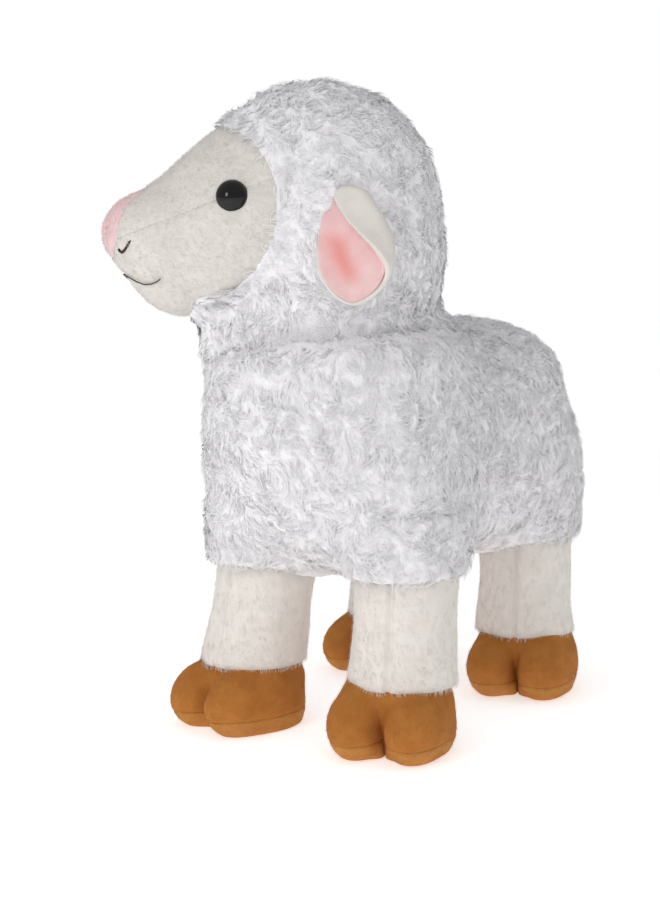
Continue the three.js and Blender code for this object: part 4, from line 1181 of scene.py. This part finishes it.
def build_eyes():
    for name, side in SIDES.items():
        place, look = skin_place((side * FACE_HALF_WIDTH, -EYE_FORWARD, EYE_RISE))
        arc = np.linspace(0, math.pi / 2, 14)[:-1]
        dome = [(EYE_RADIUS * math.cos(a), EYE_DOME * math.sin(a)) for a in arc]
        shank = [(EYE_SHANK_RADIUS, -EYE_SHANK_LENGTH), (EYE_SHANK_RADIUS, -0.6), (EYE_RADIUS - 0.5, -0.5)]
        points, faces = turned([(ON_AXIS, -EYE_SHANK_LENGTH), *shank, *dome, (ON_AXIS, EYE_DOME)], 40)
        points = points - (0, 0, EYE_SEAT - 0.2)
        eye = mesh_piece(f"eye_dome_{name}", points, faces, facing(place, look), EYE)
        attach(eye, "head")
        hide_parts(f"eye_{name}")
        for slot in bpy.data.objects[f"eye_washer_{name}"].material_slots:
            slot.material = WASHER


THREAD_STEPS = 60
PLY_TWIST = 2.4  # length of thread that its two plies turn once in
NOSTRIL_THREAD = 0.4
MOUTH_THREAD = 0.2


def thread_on_face(name, spots, node, thickness):
    """A two-ply thread that lies on the face through places given by their side and height."""
    places = []
    for x, z in spots:
        place, look = skin_place((x, -MUZZLE[3], z), (x, FACE_HEART[1], z), SEAM_DEPTH)
        places.append(place + look * (thickness + 0.35))
    places = np.array(places)
    steps = np.linspace(0, len(places) - 1, THREAD_STEPS)
    path = np.stack([np.interp(steps, range(len(places)), places[:, k]) for k in range(3)], -1)
    ways = np.gradient(path, axis=0)
    ways /= np.linalg.norm(ways, axis=1)[:, None]
    side = np.cross(ways, (0, -1, 0.2))
    side /= np.linalg.norm(side, axis=1)[:, None]
    over = np.cross(ways, side)
    length = np.linalg.norm(np.diff(path, axis=0), axis=1).sum()
    turn = np.linspace(0, math.tau * length / PLY_TWIST, THREAD_STEPS)
    ends = np.clip(np.minimum(steps - steps[0], steps[-1] - steps) * 4, 0.35, 1)
    plies = []
    for start in (0, math.pi):
        swing = side * np.cos(turn + start)[:, None] + over * np.sin(turn + start)[:, None]
        plies.append(tube_round(path + swing * thickness * 0.85 * ends[:, None], thickness * ends, 7))
    made = mesh_piece(name, *join_shapes(plies), HEAD_PLACE, THREAD)
    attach(made, "head")
    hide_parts(node)


def build_threads():
    for name, side in SIDES.items():
        nostril = [(side * x, z) for x, z in NOSTRIL_PLACES]
        thread_on_face(f"nostril_thread_{name}", nostril, f"nostril_stitch_{name}", NOSTRIL_THREAD)
        mouth = [(side * x, z) for x, z in MOUTH_PLACES]
        thread_on_face(f"mouth_thread_{name}", mouth, f"mouth_stitch_{name}", MOUTH_THREAD)


# Ears
EAR_ROWS = 46
EAR_COLUMNS = 44
EAR_RIM_STEPS = 5
EAR_FOLD_RADIUS = 4.7
EAR_ROUND_TIP = 0.45  # share of its length


def ear_sizes(along):
    """The ear's front, rear, flap and fold at a share of its length, drawn in at root and tip."""
    steps = np.linspace(0, 1, len(EAR_FOLDS))
    rows = (EAR_FRONTS, EAR_REARS, EAR_FLAPS, EAR_FOLDS)
    front, rear, flap, fold = (np.interp(along, steps, row) for row in rows)
    near_tip = max(along - 1 + EAR_ROUND_TIP, 0) / EAR_ROUND_TIP
    shrink = max(1 - near_tip**2, 0) ** 0.55 * min(0.45 + 2 * math.sqrt(along), 1)
    return front * shrink, rear * shrink, flap * shrink, math.radians(fold)


def ear_half_width(along):
    front, rear, flap, _ = ear_sizes(along)
    return (front + rear + flap) / 2


def ear_line(along, places):
    """Places across an ear's cloth and its angle there: a cup, and a flap folded over it."""
    front, rear, flap, fold = ear_sizes(along)
    whole = max(front + rear + flap, 0.6)
    cloth = np.linspace(0, whole, 301)
    half_arc = max(fold * EAR_FOLD_RADIUS / 2, 3)
    share = np.clip((cloth - front - rear - 1.5 + half_arc) / (2 * half_arc), 0, 1)
    cup = EAR_CUP * (1 - cloth / max(front, 0.3)).clip(0, 1)
    turn = fold * eased(share) - cup
    step = cloth[1]
    deep = np.cumsum(np.sin(turn)) * step
    wide = np.cumsum(np.cos(turn)) * step
    deep = deep - np.interp(front, cloth, deep)
    wide = wide - np.interp(front, cloth, wide) - EAR_SHIFT
    fine = cloth / whole * 2 - 1
    return np.interp(places, fine, deep), np.interp(places, fine, wide), np.interp(places, fine, turn)


def ear_sheet(near, far, inset):
    """A cupped cloth between two depths in from the cup's back, with a round edge all the way round."""
    points = []
    rim = np.linspace(0, math.pi, EAR_RIM_STEPS + 2)[1:-1]
    for row in range(EAR_ROWS):
        along = 1 - (1 - row / (EAR_ROWS - 1)) ** 1.6
        half = max(ear_half_width(along), 0.3)
        thick = (far - near) / 2
        thick *= min(1, max(half - inset, 0.1) / (thick * 2))
        edge = max(half - inset - thick, 0.05) / half
        across = np.linspace(-edge, edge, EAR_COLUMNS)
        deep, wide, turn = ear_line(along, across)
        loop = [(d, w, t, thick, 0) for d, w, t in zip(deep, wide, turn)]
        loop += [(deep[-1], wide[-1], turn[-1], thick * math.cos(a), thick * math.sin(a)) for a in rim]
        loop += [(d, w, t, -thick, 0) for d, w, t in zip(deep[::-1], wide[::-1], turn[::-1])]
        loop += [(deep[0], wide[0], turn[0], -thick * math.cos(a), -thick * math.sin(a)) for a in rim]
        height = 2.5 - inset - along * (EAR_LENGTH + 2.5 - 2 * inset)
        for d, w, t, out, beside in loop:
            depth = (near + far) / 2 - out
            x = d + depth * math.cos(t) + beside * math.sin(t)
            y = w - depth * math.sin(t) + beside * math.cos(t)
            points.append((x, y, height))
    around = 2 * (EAR_COLUMNS + EAR_RIM_STEPS)
    faces = ring_faces(EAR_ROWS, around)
    faces.append(tuple(range(around)))
    faces.append(tuple((EAR_ROWS - 1) * around + k for k in range(around)))
    return np.array(points), faces


def ear_place(name, side):
    splay = Matrix.Rotation(-side * EAR_SPLAY, 4, "Y")
    turn = Matrix.Rotation(-side * EAR_FACING, 4, "Z")
    mirror = Matrix.Scale(side, 4, (1, 0, 0))
    return place_at(joint_place(f"ear_{name}_lift"), HEAD_SPIN, splay, turn, mirror)


def build_ear(name, side):
    place = ear_place(name, side)
    parts = (
        ("outer", 0, EAR_CLOTH, 0, PLUSH, "short_plush"),
        ("lining", EAR_CLOTH + 0.1, 4.4, 1.0, LINING, "pink_plush"),
    )
    for part, near, far, inset, cloth, slot in parts:
        points, faces = ear_sheet(near, far, inset)
        height = -points[:, 2] / EAR_LENGTH
        # Painted shade for the lining: a coral band down the hollow under the folded flap
        middle = 17 * (height - 0.55) - 4 - EAR_SHIFT
        hollow = np.exp(-(((points[:, 1] - middle) / 5) ** 2)) * np.exp(-(((height - 0.57) / 0.23) ** 4))
        ear = mesh_piece(f"ear_{part}_cloth_{name}", points, faces, place, cloth)
        if part == "lining":
            point_values(ear, "fold", hollow * 0.75)
        clean = bmesh.new()
        clean.from_mesh(ear.data)
        bmesh.ops.recalc_face_normals(clean, faces=clean.faces)
        clean.to_mesh(ear.data)
        clean.free()
        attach(ear, f"ear_{name}")
        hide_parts(f"ear_{part}_{name}")


# Legs and hooves
def hoof_distance(p):
    """Two toes and a heel, with a cleft between the toes and a sewn crease above the sole."""
    middles = [(side * TOE_MIDDLE[0], *TOE_MIDDLE[1:]) for side in SIDES.values()]
    toes = np.minimum(*[mass_distance(p, middle, TOE_HALF) for middle in middles])
    q = p - (0, HOOF_FORWARD, 0)
    radius = np.interp(p[..., 2], HEEL_HEIGHTS, HEEL_HALF_WIDTHS)
    aside = np.hypot(q[..., 0], q[..., 1] / HEEL_LENGTH_SHARE) - radius
    heel = np.maximum(aside, np.maximum(p[..., 2] - HEEL_HEIGHTS[-1], -p[..., 2]))
    found = soft_lesser(toes, heel, 6)
    width = 0.2 + 0.16 * np.maximum(-CLEFT_END - p[..., 1], 0)
    cleft = np.maximum(np.abs(p[..., 0]) - width, p[..., 1] + CLEFT_END + 0.45 * (p[..., 2] - 10))
    found = -soft_lesser(-found, cleft, 3)
    pucker = 1 + 0.5 * np.sin(np.arctan2(p[..., 0], p[..., 1]) * PUCKERS)
    front = np.clip((6 - p[..., 1]) / 22, 0.25, 1)
    crease = 0.2 * bell(p[..., 2] - SOLE_SEAM_HEIGHT, 1.2) * pucker * front
    return np.maximum(found + crease, SOLE_FLAT - p[..., 2])


def upper_distance(p):
    top = p[..., 2] - SLEEVE_HEM + 0.2
    return np.maximum(np.maximum(hoof_distance(p), SOLE_SEAM_HEIGHT - p[..., 2]), top)


def sole_distance(p):
    inside = 0.35 * np.clip((p[..., 2] - SOLE_SEAM_HEIGHT) / 0.4 + 1, 0, 1)
    return np.maximum(hoof_distance(p) + inside, p[..., 2] - SOLE_SEAM_HEIGHT - 1)


def leg_shape(side, seed, lean):
    """A stuffed sleeve with a seam down its front, from its turned hem to the dome inside the body."""
    below = SLEEVE_LOW - HIP_HEIGHT
    waist = LEG_WAIST_DROP
    heights = np.concatenate([np.linspace(below + 1, -8, 40), np.linspace(-6, 0, 3)])
    flare = [LEG_RADIUS + 0.6, LEG_RADIUS + 1, LEG_WAIST_RADIUS, LEG_RADIUS]
    radii = np.interp(heights, [below, below + 5, -waist, 0], flare)
    angles = np.linspace(0.1, math.pi / 2, 10)[:-1]
    dome = [(LEG_RADIUS * math.cos(a), LEG_RADIUS * math.sin(a)) for a in angles]
    foot = [(LEG_RADIUS - 2.5, below), (LEG_RADIUS - 1, below + 0.2), (LEG_RADIUS - 0.25, below + 0.5)]
    profile = [(ON_AXIS, below), *foot, *zip(radii, heights), *dome, (ON_AXIS, LEG_RADIUS)]
    points, faces = turned(profile, 150)
    around = np.arctan2(points[:, 0], -points[:, 1]) - side * TOE_OUT
    arc = (np.mod(around + math.pi, math.tau) - math.pi) * LEG_RADIUS
    seam = 2.2 * bell(arc, 1.6) * (points[:, 2] < 4)
    push = lumps(points, 18, 0.9, seed) * (points[:, 2] < 0) - seam
    radius = np.maximum(np.hypot(points[:, 0], points[:, 1]), 1e-6)
    points[:, :2] *= (1 + push / radius)[:, None]
    right, back, left_over = lean
    share = left_over + (1 - left_over) * np.clip((points[:, 2] - below) / (-HEM_DROP - below), 0, 1)
    points[:, :2] += np.array((right, back)) * share[:, None]
    return points, faces, np.abs(arc)


FRINGE = {
    **NAP,
    "Strands": 230000.0,
    "Length": 1.9 * MM,
    "Height": 0.9 * MM,
    "Radius": 0.12 * MM,
    "Stir": 1.0,
}
HOOF_NAP = {
    **NAP,
    "Strands": 330000.0,
    "Length": 1.5 * MM,
    "Height": 0.7 * MM,
    "Stir": 2.5,
    "Softness": 0.6,
}
HOOF_VOXEL = 1.1


def build_leg(name, number):
    side = 1 if name.endswith("left") else -1
    hip = HIPS[name]
    points, faces, from_seam = leg_shape(side, number, LEG_LEANS[name])
    # The leg's plush and its nap carry painted light: a paler copy of the face's cream
    leg = mesh_piece(f"leg_plush_{name}", points, faces, place_at(hip), LEG_PLUSH_PAINTED_LIGHT)
    low = points[:, 2] < SLEEVE_LOW - HIP_HEIGHT + 4
    grow = (points[:, 2] < -HEM_DROP + 6) * (1 + 2.5 * low) * (from_seam > 1.4)
    grow[[-1, -2]] = 0
    ready_for_pile(leg, grow, 1 + 0.6 * low, (0, 0, -1.4))
    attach(leg, f"leg_{name}")
    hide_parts(f"leg_sleeve_{name}", f"leg_filling_{name}")
    nap = grow_pile(f"leg_nap_{name}", leg, f"leg_{name}", FRINGE, LEG_NAP_PAINTED_LIGHT, 40 + number, points=3)
    spin = Matrix.Rotation(side * TOE_OUT, 4, "Z")
    ground = place_at(hip - (0, 0, HIP_HEIGHT), spin, Matrix.Translation((0, -HOOF_FORWARD * MM, 0)))
    parts = (
        ("upper", upper_distance, SLEEVE_HEM + 2, SUEDE),
        ("sole", sole_distance, SOLE_SEAM_HEIGHT + 2, SOLE_SUEDE),
    )
    for part, distance, top, cloth in parts:
        points, quads = polygonise(distance, (-32, -37, -2), (32, 36, top), HOOF_VOXEL)
        push = lumps(points, LUMP_SIZE, 0.5, number)[:, None] * (points[:, 2:] > 2)
        points = points + ways_out(points, distance) * push
        hoof = mesh_piece(f"hoof_{part}_suede_{name}", points, quads, ground, cloth)
        away = points[:, 2] < 2.8 if part == "sole" else points[:, 2] > SLEEVE_LOW + 1
        ready_for_pile(hoof, ~away & (hoof_distance(points) > -0.9), 1, (0, -0.2, -1), spin)
        nap_name = f"hoof_{part}_nap_{name}"
        nap = grow_pile(nap_name, hoof, f"leg_{name}", HOOF_NAP, SUEDE_NAP, 60 + number, points=3)
        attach(hoof, f"leg_{name}")
        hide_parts(f"hoof_{part}_{name}")


# Tail and neck
def build_tail():
    points, quads = polygonise(tail_backing_distance, (-16, -12, -44), (16, 12, 10), FINE_VOXEL)
    place = place_at(joint_place("tail_lift"), Matrix.Rotation(TAIL_SPLAY, 4, "X"))
    tail = mesh_piece("tail_backing", points, quads, place, FUR_BACKING)
    ready_for_pile(tail, 1, 0.7, (0, 0, -1.5))
    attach(tail, "tail")
    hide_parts("tail")
    fur = grow_pile("fur_tail", tail, "tail", BODY_FUR, FUR_STRAND, 50)


def build_neck():
    foot = -NECK_BALL_RADIUS - NECK_WAD_DEPTH
    bowl = NECK_BALL_RADIUS + SEAT_GAP
    angles = [math.acos(r / bowl) for r in (NECK_WAD_RADIUS, 20, 10, ON_AXIS)]
    hollow = [(bowl * math.cos(a), -bowl * math.sin(a)) for a in angles]
    base = [(ON_AXIS, foot), (NECK_WAD_RADIUS - 1, foot), (NECK_WAD_RADIUS, foot + 1)]
    points, faces = turned([*base, *hollow], 48)
    wad = mesh_piece("neck_wad", points, faces, place_at(joint_place("head_turn")), FIBRE)
    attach(wad, "neck")
    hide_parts("neck_filling")


# Studio: a floor that fades into white, a soft key from the left, and a small window for the eyes
FLOOR_GLOW = 0.5
SKY_LIGHT = 0.49  # on the sheep; the camera sees it as plain white
KEY_POWER = 2.0
KEY_SIZE = (0.8, 0.9)
WINDOW_POWER = 1.0
WINDOW_SIZE = (0.17, 0.28)
TOP_LIGHT = 0.2
TOP_SOFTNESS = math.radians(60)
LAMP_DISTANCE = 1.15
# Each lamp's way from the sheep, and whether it shows in gloss
LAMPS = {
    "key": ((0.1, -0.81, 0.58), False),
    "window": ((-0.04, -0.88, 0.46), True),
    "top": ((0.1, 0, 1), False),
}


def build_studio():
    bpy.ops.mesh.primitive_plane_add(size=20)
    floor = bpy.context.object
    floor.name = "floor"
    paper, _, shader = new_material("white_paper_sweep", Roughness=1.0, Base_Color=linear("#f6f6f6"))
    shader.inputs["Emission Color"].default_value = (1, 1, 1, 1)
    shader.inputs["Emission Strength"].default_value = FLOOR_GLOW
    floor.data.materials.append(paper)
    world = bpy.data.worlds.new("studio")
    bpy.context.scene.world = world
    world.use_nodes = True
    tree = world.node_tree
    tree.nodes.clear()
    seen = add(tree, "ShaderNodeLightPath").outputs["Is Camera Ray"]
    feeds = {"Value": seen, "To Min": SKY_LIGHT, "To Max": 1.0}
    strength = add(tree, "ShaderNodeMapRange", feeds).outputs[0]
    sky = add(tree, "ShaderNodeBackground", {"Color": (1, 1, 1, 1), "Strength": strength})
    add(tree, "ShaderNodeOutputWorld", {"Surface": sky.outputs[0]})
    for name, power, size in (("key", KEY_POWER, KEY_SIZE), ("window", WINDOW_POWER, WINDOW_SIZE)):
        lamp = bpy.data.lights.new(name, "AREA")
        lamp.energy = power
        lamp.shape = "RECTANGLE"
        lamp.size, lamp.size_y = size
    top = bpy.data.lights.new("top", "SUN")
    top.energy = TOP_LIGHT
    top.angle = TOP_SOFTNESS
    for name, (way, shiny) in LAMPS.items():
        light = bpy.data.objects.new(name, bpy.data.lights[name])
        bpy.context.scene.collection.objects.link(light)
        light.location = Vector(way) * LAMP_DISTANCE
        light.visible_glossy = shiny
        light.rotation_euler = Vector(way).to_track_quat("Z", "Y").to_euler()


# Camera: the photograph's view, found by fitting
VIEW_AZIMUTH = math.radians(32)
VIEW_ELEVATION = math.radians(4.2)
VIEW_DISTANCE = 800
VIEW_TARGET = (0, -15, 58)  # from the middle of the hips
FOCAL_PIXELS = 1552
FRAME_WIDTH = 660
FRAME_HEIGHT = 900
TARGET_PIXEL_X = 381
TARGET_PIXEL_Y = 407.8


def build_camera():
    data = bpy.data.cameras.new("camera")
    data.sensor_width = 36
    data.lens = FOCAL_PIXELS * data.sensor_width / FRAME_HEIGHT
    data.shift_x = -(TARGET_PIXEL_X - FRAME_WIDTH / 2) / FRAME_HEIGHT
    data.shift_y = (TARGET_PIXEL_Y - FRAME_HEIGHT / 2) / FRAME_HEIGHT
    camera = bpy.data.objects.new("camera", data)
    bpy.context.scene.collection.objects.link(camera)
    level = math.cos(VIEW_ELEVATION)
    back = Vector((math.sin(VIEW_AZIMUTH) * level, -math.cos(VIEW_AZIMUTH) * level, math.sin(VIEW_ELEVATION)))
    camera.location = (Vector(HIP_MIDDLE) + Vector(VIEW_TARGET) + back * VIEW_DISTANCE) * MM
    camera.rotation_euler = back.to_track_quat("Z", "Y").to_euler()
    data.clip_start = 0.01
    bpy.context.scene.camera = camera


build_camera()
build_studio()
build_body()
build_head()
build_ruff()
build_face()
build_eyes()
build_threads()
for ear, side in SIDES.items():
    build_ear(ear, side)
for number, leg in enumerate(LEGS):
    build_leg(leg, number)
build_tail()
build_neck()
bpy.context.scene.view_settings.view_transform = "Standard"
